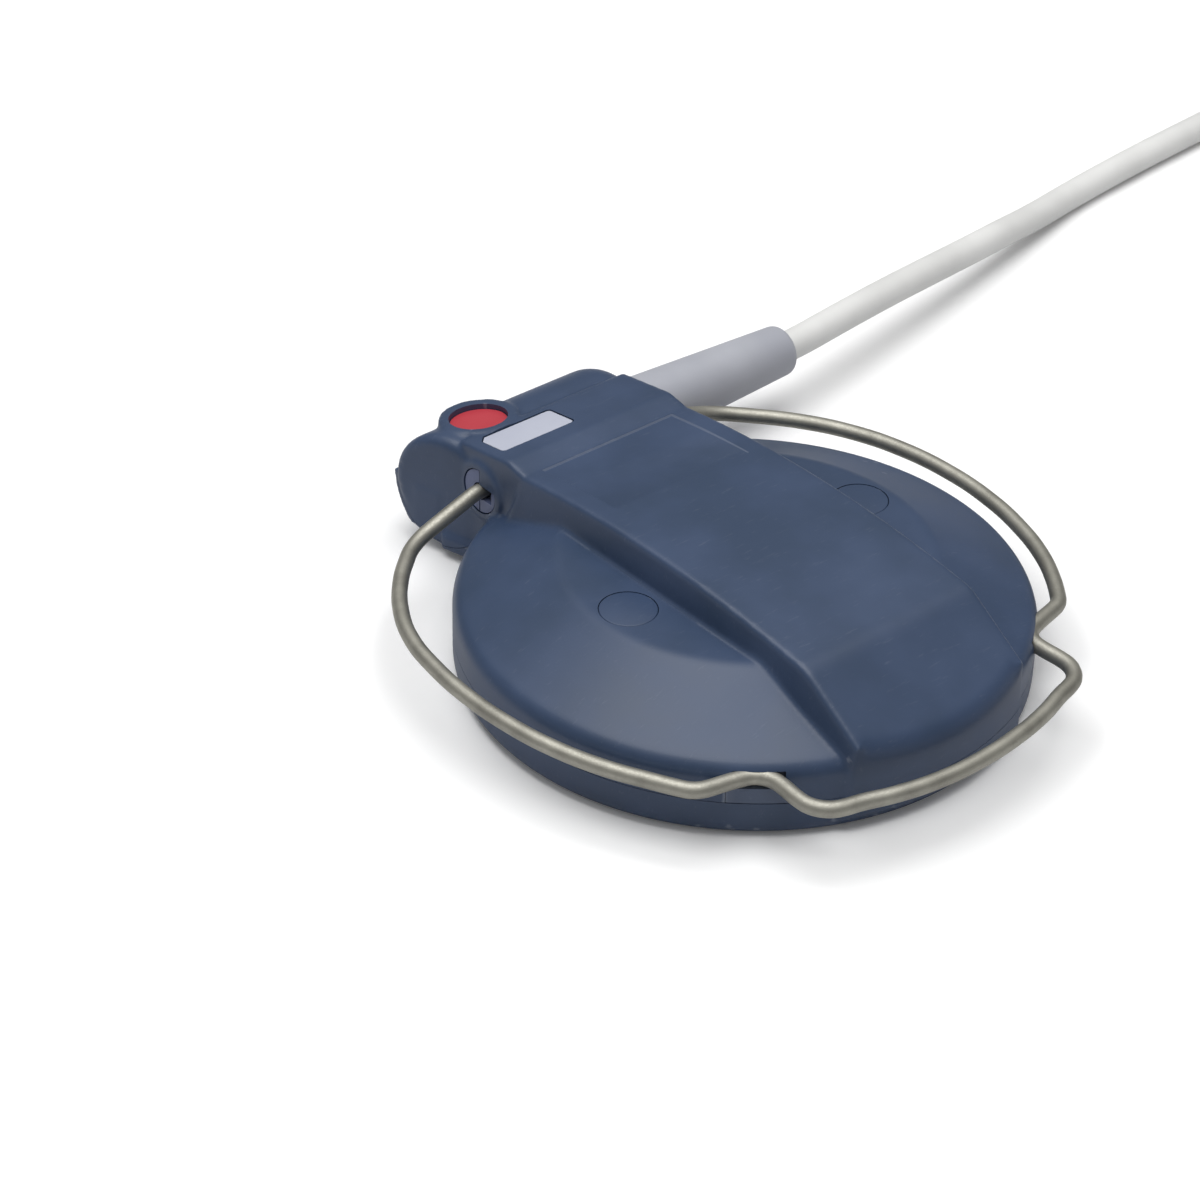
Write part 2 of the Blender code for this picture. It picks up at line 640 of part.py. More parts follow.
def upper_cavity():
    """Hollow of the disc and the spine, kept off the rim pockets."""
    roof = PLATEAU_Z - WALL
    body = lathe("cavity", [(0, DECK_Z - OVERLAP), (CAVITY_RADIUS, DECK_Z - OVERLAP),
                            (CAVITY_RADIUS, SHOULDER_Z - WALL), (PLATEAU_RADIUS - OVERLAP, roof),
                            (0, roof)], DISC_SIDES)
    arch_ys = [CREASE_Y + (PLATFORM_FOOT_Y - CREASE_Y) * i / 6 for i in range(7)]
    outline = [(y, spine_top(y) - SPINE_WALL) for y in [CREASE_Y - 5 * MM] + arch_ys]
    outline += [(arch_ys[-1], PARTING_Z + WALL), (CREASE_Y - 5 * MM, PARTING_Z + WALL)]
    spine_half = SPINE_HALF_WIDTH - WALL
    join_all(body, [side_prism("spine_cavity", outline, -spine_half, spine_half)])
    blocks = []
    for side in (-1, 1):
        inner = POCKET_BACK_RADIUS - OVERLAP
        half = KEEPER_HALF_WIDTH + GAP + POCKET_WALL
        block = box("pocket_block", (inner, -half, PARTING_Z + LIP_RISE + 1.3 * GAP),
                    (DISC_RADIUS + OVERLAP, half, PLATEAU_Z))
        blocks.append(at_pocket(block, side))
    return cut_all(body, blocks)


def pocket_cutter(side):
    """Slot for the keeper and, above it, the pocket that takes the wire's kink."""
    narrow = POCKET_HALF_WIDTH
    wide = KEEPER_HALF_WIDTH + GAP
    step = KEEPER_TOP_Z + GAP / 2
    outline = [(-wide, DECK_Z), (wide, DECK_Z), (wide, step), (narrow, step),
               (narrow, POCKET_ROOF_Z), (-narrow, POCKET_ROOF_Z), (-narrow, step), (-wide, step)]
    return at_pocket(side_prism("pocket", outline, POCKET_BACK_RADIUS, DISC_RADIUS + 3 * OVERLAP),
                     side)


def screw_well():
    """Plug seat, screw-head bore and shank hole, cut down through a column."""
    head = SCREW_HEAD_RADIUS + 1.5 * GAP
    shank = SCREW_SHANK_RADIUS + GAP
    plug = PLUG_RADIUS + GAP
    seat = PLATEAU_Z - PLUG_THICKNESS - GAP
    return lathe("well", [(0, BOARD_TOP_Z), (shank, BOARD_TOP_Z), (shank, SCREW_SEAT_Z),
                          (head, SCREW_SEAT_Z), (head, seat), (plug, seat),
                          (plug, PLATEAU_Z + OVERLAP), (0, PLATEAU_Z + OVERLAP)], SCREW_SIDES)


def panel_cutter():
    """Shallow panel in the spine's top that fades out towards the front."""
    steps = 6
    ys = [PANEL_FRONT_Y + (PANEL_BACK_Y - PANEL_FRONT_Y) * i / steps for i in range(steps + 1)]
    floor = [(y, arch_z(y) - PANEL_DEPTH * i / steps + 0.01 * MM) for i, y in enumerate(ys)]
    roof = [(y, ARCH_CROWN_Z + OVERLAP) for y in (ys[-1], ys[0])]
    return side_prism("panel", floor + roof, -PANEL_HALF_WIDTH, PANEL_HALF_WIDTH)


def make_upper_housing(outer):
    body = combine(copy_of(outer, "upper"), region(True), "INTERSECT")
    cut_all(body, [upper_cavity()])
    wells = []
    columns = []
    for side in (-1, 1):
        shift = Matrix.Translation((side * SCREW_X, 0, 0))
        column = rod("column", COLUMN_RADIUS, BOARD_TOP_Z + GAP, PLATEAU_Z - WALL / 2, 24)
        columns.append(place(column, shift))
        wells.append(place(screw_well(), shift))
    join_all(body, columns)
    cut_all(body, wells)
    neck = rod("neck_cavity", NECK_CAVITY_RADIUS, -NECK_CAVITY_HALF_LENGTH,
               NECK_CAVITY_HALF_LENGTH, 28)
    place(neck, Matrix.Translation((0, BARREL_Y, BARREL_Z)) @ ALONG_X)
    boot_hole = rod("boot_hole", BOOT_SHANK_RADIUS + GAP, 0, BOOT_START_X + OVERLAP, 24)
    place(boot_hole, Matrix.Translation((0, BOOT_Y, BOOT_Z)) @ ALONG_X)
    passage = rod("passage", PASSAGE_RADIUS, PLATFORM_FOOT_Y - OVERLAP, BARREL_Y, 16)
    place(passage, Matrix.Translation((0, 0, PASSAGE_Z)) @ ALONG_Y)
    cut_all(body, [neck, boot_hole, passage, panel_cutter(), label_pocket(), code_disc_seat()])
    for side in (-1, 1):
        cut_all(body, [bush_cutter(side), pocket_cutter(side)])
    cut_all(body, [mesh_tube("wire_groove", belt_wire_path(), WIRE_ENVELOPE, 2)])
    return finish(body, "upper_housing", housing_blue)


def make_lower_housing(outer):
    body = combine(copy_of(outer, "lower"), region(False), "INTERSECT")
    lip_outer = RIM_INNER_RADIUS + LIP_WIDTH
    floor = WINDOW_THICKNESS
    hollow = lathe("hollow", [(0, floor), (RIM_INNER_RADIUS, floor),
                              (RIM_INNER_RADIUS, PARTING_Z + OVERLAP), (0, PARTING_Z + OVERLAP)],
                   DISC_SIDES)
    ledge_z = PARTING_Z - 2 * GAP
    ledge = lathe("ledge", [(lip_outer, ledge_z), (lip_outer + SEAL_GROOVE, ledge_z),
                            (lip_outer + SEAL_GROOVE, PARTING_Z + OVERLAP),
                            (lip_outer, PARTING_Z + OVERLAP)], DISC_SIDES)
    cut_all(body, [hollow, ledge])
    lip = lathe("lip", [(RIM_INNER_RADIUS, PARTING_Z - 3 * OVERLAP), (lip_outer, PARTING_Z - 3 * OVERLAP),
                        (lip_outer, PARTING_Z + LIP_RISE), (RIM_INNER_RADIUS, PARTING_Z + LIP_RISE)],
                DISC_SIDES)
    posts = []
    holes = []
    for side in (-1, 1):
        shift = Matrix.Translation((side * SCREW_X, 0, 0))
        post = rod("post", POST_RADIUS, floor / 2, BOARD_Z - GAP, 20)
        hole = rod("pilot", SCREW_SHANK_RADIUS + GAP, floor + WALL, BOARD_Z + OVERLAP, 16)
        posts.append(place(post, shift))
        holes.append(place(hole, shift))
    join_all(body, [lip] + posts)
    cut_all(body, holes)
    return finish(body, "lower_housing", housing_blue)


# Pieces seated in the housings' outside

def label_block(name, margin, low, high, boss_clearance):
    """Block in the label's outline, notched where the boss runs into it."""
    x = LABEL_LENGTH / 2 + margin
    y = LABEL_WIDTH / 2 + margin
    block = place(box(name, (-x, -y, low), (x, y, high)), on_platform(LABEL_X, LABEL_Y, 0))
    boss = rod("boss", BOSS_RADIUS + boss_clearance, 0, 2 * BOSS_TOP_Z, 32)
    return cut_all(block, [place(boss, Matrix.Translation((BOSS_X, BOSS_Y, 0)))])


def label_pocket():
    return label_block("label_pocket", GAP, -LABEL_THICKNESS - GAP, 3 * OVERLAP, 0)


def make_label_plate():
    plate = label_block("label", 0, -LABEL_THICKNESS, 0, GAP)
    return finish(plate, "label_plate", label_grey)


def code_disc_seat():
    low = BOSS_TOP_Z - CODE_DISC_SUNK - CODE_DISC_THICKNESS - GAP
    cutter = rod("code_seat", CODE_DISC_RADIUS + GAP / 2, low, BOSS_TOP_Z + OVERLAP, 32)
    return place(cutter, Matrix.Translation((BOSS_X, BOSS_Y, 0)))


def make_code_disc():
    top = BOSS_TOP_Z - CODE_DISC_SUNK
    disc = rod("code", CODE_DISC_RADIUS - GAP / 2, top - CODE_DISC_THICKNESS, top, 32)
    place(disc, Matrix.Translation((BOSS_X, BOSS_Y, 0)))
    return finish(disc, "colour_code_disc", code_red)


def at_pivot(side):
    """Matrix that lays a lathed shape along X through a wire pivot, facing out."""
    turn = Matrix.Rotation(math.radians(90 * side), 4, "Y")
    return Matrix.Translation((0, PIVOT_Y, PIVOT_Z)) @ turn


def bush_cutter(side):
    """Stepped hole for one wire bush."""
    face = NECK_HALF_WIDTH + BUSH_RING_PROUD
    flange = BUSH_FLANGE_RADIUS + GAP
    body = BUSH_BODY_RADIUS + GAP
    step = NECK_HALF_WIDTH - BUSH_FLANGE_THICKNESS + BUSH_RING_PROUD - GAP
    bottom = step - BUSH_BODY_LENGTH - GAP
    cutter = lathe("bush_hole", [(0, bottom), (body, bottom), (body, step), (flange, step),
                                 (flange, face + GAP), (0, face + GAP)], BUSH_SIDES)
    return place(cutter, at_pivot(side))


def make_wire_bush(side, name):
    """Flanged bush that takes one end of the belt wire."""
    face = NECK_HALF_WIDTH + BUSH_RING_PROUD - 0.1 * MM
    step = NECK_HALF_WIDTH - BUSH_FLANGE_THICKNESS + BUSH_RING_PROUD
    bottom = step - BUSH_BODY_LENGTH
    bore = WIRE_ENVELOPE
    floor = NECK_HALF_WIDTH - BUSH_BODY_LENGTH - GAP
    bush = lathe("bush", [(0, bottom), (BUSH_BODY_RADIUS, bottom), (BUSH_BODY_RADIUS, step),
                          (BUSH_FLANGE_RADIUS, step), (BUSH_FLANGE_RADIUS, face),
                          (bore, face), (bore, floor), (0, floor)], BUSH_SIDES)
    split = BUSH_SPLIT_WIDTH / 2
    cut_all(bush, [box("split", (-PIVOT_Z, -split, face - BUSH_FLANGE_THICKNESS / 2),
                       (PIVOT_Z, split, face + OVERLAP))])
    place(bush, at_pivot(side))
    return finish(bush, name, bush_grey)


def make_wire_keeper(side, name):
    """Angle block that closes a rim pocket under the wire's kink."""
    plate_inner = DISC_RADIUS - KEEPER_PLATE
    outline = [(plate_inner, PARTING_Z + GAP / 2), (DISC_RADIUS + OVERLAP, PARTING_Z + GAP / 2),
               (DISC_RADIUS + OVERLAP, KEEPER_TOP_Z),
               (POCKET_BACK_RADIUS + GAP, KEEPER_TOP_Z),
               (POCKET_BACK_RADIUS + GAP, KEEPER_TOP_Z - KEEPER_SHELF),
               (plate_inner, KEEPER_TOP_Z - KEEPER_SHELF)]
    width = KEEPER_HALF_WIDTH
    keeper = prism("keeper", outline, -width, width)
    place(keeper, Matrix(((1, 0, 0, 0), (0, 0, 1, 0), (0, 1, 0, 0), (0, 0, 0, 1))))
    as_lathed = rod("rim", DISC_RADIUS - 0.05 * MM, 0, SHOULDER_Z, 3 * DISC_SIDES)
    combine(keeper, as_lathed, "INTERSECT")
    at_pocket(keeper, side)
    return finish(keeper, name, housing_blue)


def make_belt_wire():
    return finish(tube("wire", belt_wire_path(), WIRE_RADIUS, 2), "belt_wire", wire_steel)


def make_case_screw(side, name):
    shank_end = WINDOW_THICKNESS + WALL + GAP
    head_z = SCREW_SEAT_Z + GAP
    top = head_z + SCREW_HEAD_HEIGHT
    socket = SCREW_HEAD_RADIUS * 0.45
    floor = top - SCREW_HEAD_HEIGHT * 0.6
    screw = lathe("screw", [(0, shank_end), (SCREW_SHANK_RADIUS * 0.5, shank_end),
                            (SCREW_SHANK_RADIUS, shank_end + SCREW_SHANK_RADIUS),
                            (SCREW_SHANK_RADIUS, head_z), (SCREW_HEAD_RADIUS, head_z),
                            (SCREW_HEAD_RADIUS, top - GAP), (SCREW_HEAD_RADIUS - GAP, top),
                            (socket, top), (socket, floor), (0, floor)], 16)
    place(screw, Matrix.Translation((side * SCREW_X, 0, 0)))
    return finish(screw, name, zinc_steel)


def make_screw_plug(side, name):
    bottom = PLATEAU_Z - PLUG_THICKNESS
    plug = lathe("plug", [(0, bottom), (PLUG_RADIUS, bottom), (PLUG_RADIUS, PLATEAU_Z - GAP / 2),
                          (PLUG_RADIUS - GAP / 2, PLATEAU_Z), (0, PLATEAU_Z)], SCREW_SIDES)
    place(plug, Matrix.Translation((side * SCREW_X, 0, 0)))
    return finish(plug, name, housing_blue)


# Inside the case

def make_housing_seal():
    middle = RIM_INNER_RADIUS + LIP_WIDTH + SEAL_GROOVE / 2
    height = PARTING_Z - 2 * GAP + GAP + SEAL_RADIUS
    ring = [(x, y, height) for x, y in arc((0, 0), middle, 0, 360, 36)[:-1]]
    return finish(tube("seal", ring, SEAL_RADIUS, 1, closed=True), "housing_seal", seal_rubber)


def crystal_places():
    step = 2 * math.pi / CRYSTAL_COUNT
    around = [(CRYSTAL_RING_RADIUS * math.cos(step * (i + 0.5)),
               CRYSTAL_RING_RADIUS * math.sin(step * (i + 0.5))) for i in range(CRYSTAL_COUNT)]
    return [(0.0, 0.0)] + around


def make_crystal_carrier():
    """Plate that holds the crystals against the acoustic window."""
    plate = rod("carrier", CARRIER_RADIUS, CRYSTAL_Z, CRYSTAL_Z + CARRIER_THICKNESS, 32)
    holes = [place(rod("hole", CRYSTAL_RADIUS + GAP, 0, BOARD_Z, CRYSTAL_SIDES), Matrix.Translation((x, y, 0)))
             for x, y in crystal_places()]
    holes += [place(rod("hole", POST_RADIUS + GAP, 0, BOARD_Z, 20),
                    Matrix.Translation((side * SCREW_X, 0, 0))) for side in (-1, 1)]
    return finish(cut_all(plate, holes), "crystal_carrier", carrier_white)


def make_crystal(index, spot):
    crystal = rod("crystal", CRYSTAL_RADIUS, CRYSTAL_Z, CRYSTAL_Z + CRYSTAL_THICKNESS, CRYSTAL_SIDES)
    place(crystal, Matrix.Translation((*spot, 0)))
    return finish(crystal, f"piezo_crystal_{index}", ceramic)


def make_backing_foam():
    pad = rod("foam", CARRIER_RADIUS, FOAM_Z, FOAM_Z + FOAM_THICKNESS, 32)
    holes = [place(rod("hole", POST_RADIUS + GAP, 0, BOARD_Z, 20),
                   Matrix.Translation((side * SCREW_X, 0, 0))) for side in (-1, 1)]
    return finish(cut_all(pad, holes), "backing_foam", foam_grey)


def make_circuit_board():
    board = rod("board", BOARD_RADIUS, BOARD_Z, BOARD_TOP_Z, 32)
    holes = [place(rod("hole", SCREW_SHANK_RADIUS + GAP, 0, PLATEAU_Z, 16),
                   Matrix.Translation((side * SCREW_X, 0, 0))) for side in (-1, 1)]
    return finish(cut_all(board, holes), "circuit_board", board_green)


def on_board(name, size, y, node, material):
    low = BOARD_TOP_Z + GAP
    part = box(name, (-size[0] / 2, y - size[1] / 2, low), (size[0] / 2, y + size[1] / 2, low + size[2]))
    return finish(part, node, material)


def make_inner_lead(side, name, material):
    """One wire from the end of the cable through the passage to the header."""
    x = side * LEAD_SPREAD
    header_back = HEADER_Y + HEADER_SIZE[1] / 2 + GAP
    header_z = BOARD_TOP_Z + GAP + HEADER_SIZE[2] / 2
    start_x = cable_end_x() - GAP
    corners = [((start_x, BOOT_Y - x, BOOT_Z), 0),
               ((x, BOOT_Y - x, BOOT_Z), 1.6 * MM),
               ((x, BARREL_Y - NECK_CAVITY_RADIUS, PASSAGE_Z), 2 * MM),
               ((x, PLATFORM_FOOT_Y - 2 * MM, PASSAGE_Z), 2 * MM),
               ((x, header_back + 2 * MM, header_z), 2 * MM),
               ((x, header_back, header_z), 0)]
    return finish(tube("lead", bent_path(corners, 3), LEAD_RADIUS, 1), name, material)


def flange_start_x():
    return NECK_CAVITY_HALF_LENGTH - GAP - BOOT_FLANGE_THICKNESS


def cable_end_x():
    """Where the cable's jacket is cut off inside the neck."""
    return flange_start_x() - GAP - FERRULE_LENGTH - 1.5 * MM


def make_cable_end():
    end = rod("cable_end", CABLE_RADIUS, cable_end_x(), flange_start_x() - GAP, 20)
    place(end, Matrix.Translation((0, BOOT_Y, BOOT_Z)) @ ALONG_X)
    return finish(end, "cable_jacket_end", cable_grey)


def make_ferrule():
    inner = CABLE_RADIUS + GAP
    outer = inner + FERRULE_THICKNESS
    high = flange_start_x() - GAP
    low = high - FERRULE_LENGTH
    ring = lathe("ferrule", [(inner, low), (outer, low), (outer, high), (inner, high)], 20)
    place(ring, Matrix.Translation((0, BOOT_Y, BOOT_Z)) @ ALONG_X)
    return finish(ring, "crimp_ferrule", brass)


# Cable, coil and plug

def make_strain_relief():
    """Moulded boot: flange inside the neck, shank through the collar, tapered sleeve."""
    flange = flange_start_x()
    corner_x = BOOT_TIP_X - BOOT_EDGE_RADIUS
    corner_r = BOOT_TIP_RADIUS - BOOT_EDGE_RADIUS
    profile = [(0, flange), (BOOT_FLANGE_RADIUS, flange),
               (BOOT_FLANGE_RADIUS, flange + BOOT_FLANGE_THICKNESS),
               (BOOT_SHANK_RADIUS, flange + BOOT_FLANGE_THICKNESS),
               (BOOT_SHANK_RADIUS, BOOT_START_X), (BOOT_ROOT_RADIUS, BOOT_START_X)]
    profile += arc((corner_r, corner_x), BOOT_EDGE_RADIUS, 0, 90, 4) + [(0, BOOT_TIP_X)]
    boot = lathe("boot", profile, 28)
    place(boot, Matrix.Translation((0, BOOT_Y, BOOT_Z)) @ ALONG_X)
    return finish(boot, "strain_relief", boot_grey)


def make_cable():
    """Free stretch of the cable, from the boot down to the floor and up to the coil."""
    lay_z = CABLE_RADIUS
    coil_side = COIL_Y + COIL_OUTER_RADIUS + GAP + CABLE_RADIUS
    route = [(BOOT_TIP_X + GAP, BOOT_Y, BOOT_Z),
             (BOOT_TIP_X + 4.0 * MM, BOOT_Y, BOOT_Z),
             (66.0 * MM, 52.0 * MM, 11.2 * MM),
             (81.6 * MM, 55.0 * MM, 10.1 * MM),
             (100.6 * MM, 58.8 * MM, 8.1 * MM),
             (121.0 * MM, 63.3 * MM, 5.6 * MM),
             (133.0 * MM, 66.2 * MM, 3.9 * MM),
             (146.0 * MM, 69.2 * MM, lay_z),
             (163.0 * MM, 71.2 * MM, lay_z),
             (183.0 * MM, 72.9 * MM, lay_z),
             (200.0 * MM, 74.1 * MM, lay_z),
             (COIL_X - 16.0 * MM, coil_side - 0.2 * MM, COIL_BOTTOM_Z + CABLE_RADIUS),
             (COIL_X, coil_side, COIL_BOTTOM_Z + CABLE_RADIUS)]
    cable = tube("cable", smooth_path(route, 2.4 * CABLE_DIAMETER), CABLE_RADIUS, 3)
    return finish(cable, "cable", cable_grey)


def make_cable_coil():
    """Outer shape of the coiled length: turns side by side in layers."""
    low = COIL_BOTTOM_Z
    high = low + COIL_HEIGHT
    inner = COIL_MEAN_RADIUS - COIL_HALF_WIDTH
    edge = CABLE_RADIUS * 0.6
    profile = [(inner + edge, low), (COIL_OUTER_RADIUS - edge, low), (COIL_OUTER_RADIUS, low + edge),
               (COIL_OUTER_RADIUS, high - edge), (COIL_OUTER_RADIUS - edge, high),
               (inner + edge, high), (inner, high - edge), (inner, low + edge)]
    coil = lathe("coil", profile, 36)
    place(coil, Matrix.Translation((COIL_X, COIL_Y, 0)))
    return finish(coil, "cable_coil", cable_grey)


def make_coil_tie():
    """Strap closed round the bundle of turns."""
    inner = [COIL_MEAN_RADIUS - COIL_HALF_WIDTH - GAP, COIL_OUTER_RADIUS + GAP]
    low = COIL_BOTTOM_Z - GAP
    high = COIL_BOTTOM_Z + COIL_HEIGHT + GAP
    grow = TIE_THICKNESS
    strap = box("tie", (inner[0] - grow, -TIE_WIDTH / 2, low - grow),
                (inner[1] + grow, TIE_WIDTH / 2, high + grow))
    cut_all(strap, [box("tie_hole", (inner[0], -TIE_WIDTH, low), (inner[1], TIE_WIDTH, high))])
    place(strap, Matrix.Translation((COIL_X, COIL_Y, 0)) @ Matrix.Rotation(math.radians(-140), 4, "Z"))
    return finish(strap, "coil_tie", tie_black)


def plug_place():
    """The plug's axis: along -Y beside the coil, with its grip on the floor."""
    x = COIL_X + COIL_OUTER_RADIUS + GAP + CABLE_RADIUS
    turn = Matrix.Rotation(math.radians(90), 4, "X")
    return Matrix.Translation((x, PLUG_BOOT_END_Y, PLUG_GRIP_RADIUS)) @ turn


def make_plug_lead():
    x = COIL_X + COIL_OUTER_RADIUS + GAP + CABLE_RADIUS
    low = COIL_BOTTOM_Z + CABLE_RADIUS
    route = [(x, COIL_Y, low), (x, 27 * MM, low), (x, 20 * MM, 4.6 * MM), (x, 13 * MM, 6.7 * MM),
             (x, PLUG_BOOT_END_Y + 3.5 * MM, PLUG_GRIP_RADIUS),
             (x, PLUG_BOOT_END_Y + GAP, PLUG_GRIP_RADIUS)]
    lead = tube("plug_lead", smooth_path(route, 1.6 * CABLE_DIAMETER), CABLE_RADIUS, 3)
    return finish(lead, "plug_lead", cable_grey)


def make_plug_boot():
    end = PLUG_BOOT_LENGTH
    profile = [(0, 0), (CABLE_RADIUS + 0.4 * MM, 0), (CABLE_RADIUS + 0.9 * MM, 0.5 * MM),
               (PLUG_BOOT_RADIUS, end), (0, end)]
    return finish(place(lathe("plug_boot", profile, 24), plug_place()), "plug_boot", boot_grey)


def make_plug_grip():
    """Sleeve with three finger grooves, which slides over the plug's body."""
    start = PLUG_BOOT_LENGTH + GAP
    end = start + PLUG_GRIP_LENGTH
    bore = PLUG_SHELL_RADIUS - PLUG_SHELL_WALL
    groove = 0.8 * MM
    pitch = 3.2 * MM
    chamfer = 0.7 * MM
    profile = [(0, start), (PLUG_GRIP_RADIUS - 2 * MM, start), (PLUG_GRIP_RADIUS, start + 2 * MM)]
    for index in range(3):
        base = start + 5 * MM + index * pitch
        profile += [(PLUG_GRIP_RADIUS, base), (PLUG_GRIP_RADIUS - groove, base + groove),
                    (PLUG_GRIP_RADIUS, base + 2 * groove)]
    profile += [(PLUG_GRIP_RADIUS, end - chamfer), (PLUG_GRIP_RADIUS - chamfer, end),
                (PLUG_SHELL_RADIUS + GAP, end), (PLUG_SHELL_RADIUS + GAP, end - 5 * MM),
                (bore, end - 5 * MM), (0, end - 5 * MM)]
    return finish(place(lathe("grip", profile, 20), plug_place()), "plug_grip", plug_grey)


def shell_start():
    return PLUG_BOOT_LENGTH + GAP + PLUG_GRIP_LENGTH - 5 * MM + GAP


def make_plug_shell():
    """Open metal shell round the contacts."""
    start = shell_start()
    end = start + PLUG_SHELL_LENGTH
    inner = PLUG_SHELL_RADIUS - PLUG_SHELL_WALL
    profile = [(inner, start), (PLUG_SHELL_RADIUS, start), (PLUG_SHELL_RADIUS, end - GAP),
               (PLUG_SHELL_RADIUS - GAP, end), (inner, end)]
    return finish(place(lathe("shell", profile, 28), plug_place()), "plug_shell", nickel)


def pin_places():
    return [(PIN_CIRCLE * math.cos(2 * math.pi * i / PIN_COUNT),
             PIN_CIRCLE * math.sin(2 * math.pi * i / PIN_COUNT)) for i in range(PIN_COUNT)]


def make_contact_insert():
    """Insulator that carries the contacts, with one hole for each."""
    start = shell_start()
    end = start + PLUG_SHELL_LENGTH * 0.45
    insert = rod("insert", PLUG_SHELL_RADIUS - PLUG_SHELL_WALL - GAP, start, end, 28)
    holes = [place(rod("pin_hole", PIN_RADIUS + GAP, start + OVERLAP, end + OVERLAP, 10),
                   Matrix.Translation((x, y, 0))) for x, y in pin_places()]
    return finish(place(cut_all(insert, holes), plug_place()), "contact_insert", tie_black)


def make_contact_pin(index, spot):
    start = shell_start() + OVERLAP + GAP
    end = start + PIN_LENGTH
    profile = [(0, start), (PIN_RADIUS, start), (PIN_RADIUS, end - PIN_RADIUS),
               (PIN_RADIUS * 0.5, end), (0, end)]
    pin = lathe("pin", profile, 8)
    place(pin, plug_place() @ Matrix.Translation((*spot, 0)))
    return finish(pin, f"contact_pin_{index}", brass)


housing_blue = surface("housing_blue", (0.055, 0.085, 0.150), 0.48)
bush_grey = surface("bush_grey", (0.115, 0.135, 0.215), 0.50)
wire_steel = surface("wire_steel", (0.42, 0.41, 0.38), 0.34, 1.0)
label_grey = surface("label_grey", (0.66, 0.68, 0.76), 0.45)
code_red = surface("code_red", (0.58, 0.045, 0.060), 0.40)
boot_grey = surface("boot_grey", (0.40, 0.40, 0.45), 0.50)
cable_grey = surface("cable_grey", (0.72, 0.72, 0.74), 0.45)
seal_rubber = surface("seal_rubber", (0.02, 0.02, 0.02), 0.70)
carrier_white = surface("carrier_white", (0.70, 0.70, 0.66), 0.50)
ceramic = surface("ceramic", (0.62, 0.56, 0.42), 0.45)
foam_grey = surface("foam_grey", (0.16, 0.16, 0.17), 0.90)
board_green = surface("board_green", (0.02, 0.16, 0.07), 0.40)
tinned_steel = surface("tinned_steel", (0.60, 0.60, 0.60), 0.30, 1.0)
header_white = surface("header_white", (0.75, 0.73, 0.66), 0.45)
lead_red = surface("lead_red", (0.50, 0.03, 0.03), 0.50)
zinc_steel = surface("zinc_steel", (0.55, 0.55, 0.54), 0.35, 1.0)
brass = surface("brass", (0.70, 0.52, 0.22), 0.30, 1.0)
plug_grey = surface("plug_grey", (0.30, 0.31, 0.34), 0.50)
nickel = surface("nickel", (0.62, 0.60, 0.56), 0.25, 1.0)
tie_black = surface("tie_black", (0.02, 0.02, 0.022), 0.60)

probe_frame = bpy.data.objects.new("probe_frame", None)
bpy.context.scene.collection.objects.link(probe_frame)
probe_frame.location = (0, (FRONT_REACH - BACK_REACH) / 2, 0)

whole = outer_form()
make_upper_housing(whole)
make_lower_housing(whole)
bpy.data.objects.remove(whole, do_unlink=True)
make_label_plate()
make_code_disc()
make_belt_wire()
for hand, word in ((-1, "left"), (1, "right")):
    make_wire_bush(hand, f"wire_bush_{word}")
    make_wire_keeper(hand, f"wire_keeper_{word}")
    make_case_screw(hand, f"case_screw_{word}")
    make_screw_plug(hand, f"screw_plug_{word}")
make_housing_seal()
make_crystal_carrier()
for number, spot in enumerate(crystal_places(), start=1):
    make_crystal(number, spot)
make_backing_foam()
make_circuit_board()
on_board("can", CAN_SIZE, CAN_Y, "shield_can", tinned_steel)
on_board("header", HEADER_SIZE, HEADER_Y, "lead_header", header_white)
make_inner_lead(-1, "signal_lead", lead_red)
make_inner_lead(1, "ground_lead", cable_grey)
make_cable_end()
make_ferrule()
make_strain_relief()
make_cable()
make_cable_coil()
make_coil_tie()
make_plug_lead()
make_plug_boot()
make_plug_grip()
make_plug_shell()
make_contact_insert()
for number, spot in enumerate(pin_places(), start=1):
    make_contact_pin(number, spot)
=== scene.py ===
"""Ultrasound transducer probe that is worn on a belt, with its wire loop, cable and plug."""
import math

import bmesh
import bpy
from mathutils import Matrix, Vector


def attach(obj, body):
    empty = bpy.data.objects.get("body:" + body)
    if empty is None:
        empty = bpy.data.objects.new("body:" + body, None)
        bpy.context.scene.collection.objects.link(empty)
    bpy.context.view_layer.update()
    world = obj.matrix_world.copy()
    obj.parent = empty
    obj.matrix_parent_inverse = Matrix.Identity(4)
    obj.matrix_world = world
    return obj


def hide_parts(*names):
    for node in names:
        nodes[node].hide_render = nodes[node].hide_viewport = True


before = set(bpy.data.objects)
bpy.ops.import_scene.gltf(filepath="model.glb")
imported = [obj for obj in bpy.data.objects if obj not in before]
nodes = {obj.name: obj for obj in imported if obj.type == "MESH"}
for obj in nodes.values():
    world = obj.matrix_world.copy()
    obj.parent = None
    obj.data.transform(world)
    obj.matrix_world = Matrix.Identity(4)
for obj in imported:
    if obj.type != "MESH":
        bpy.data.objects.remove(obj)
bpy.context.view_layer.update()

# Camera: a long lens above the front left of the probe, so that the disc is seen as an
# ellipse, the neck lies to the left and the cable runs off to the upper right.
MM = 0.001
LENS = 99.96
SENSOR = 36.0
EYE = Vector((-288.18, -305.275, 299.60)) * MM
TO_THE_RIGHT = Vector((0.7648, -0.6440, 0.0171))
UPWARD = Vector((0.3574, 0.4462, 0.8204))
BACKWARD = Vector((-0.5360, -0.6214, 0.5715))

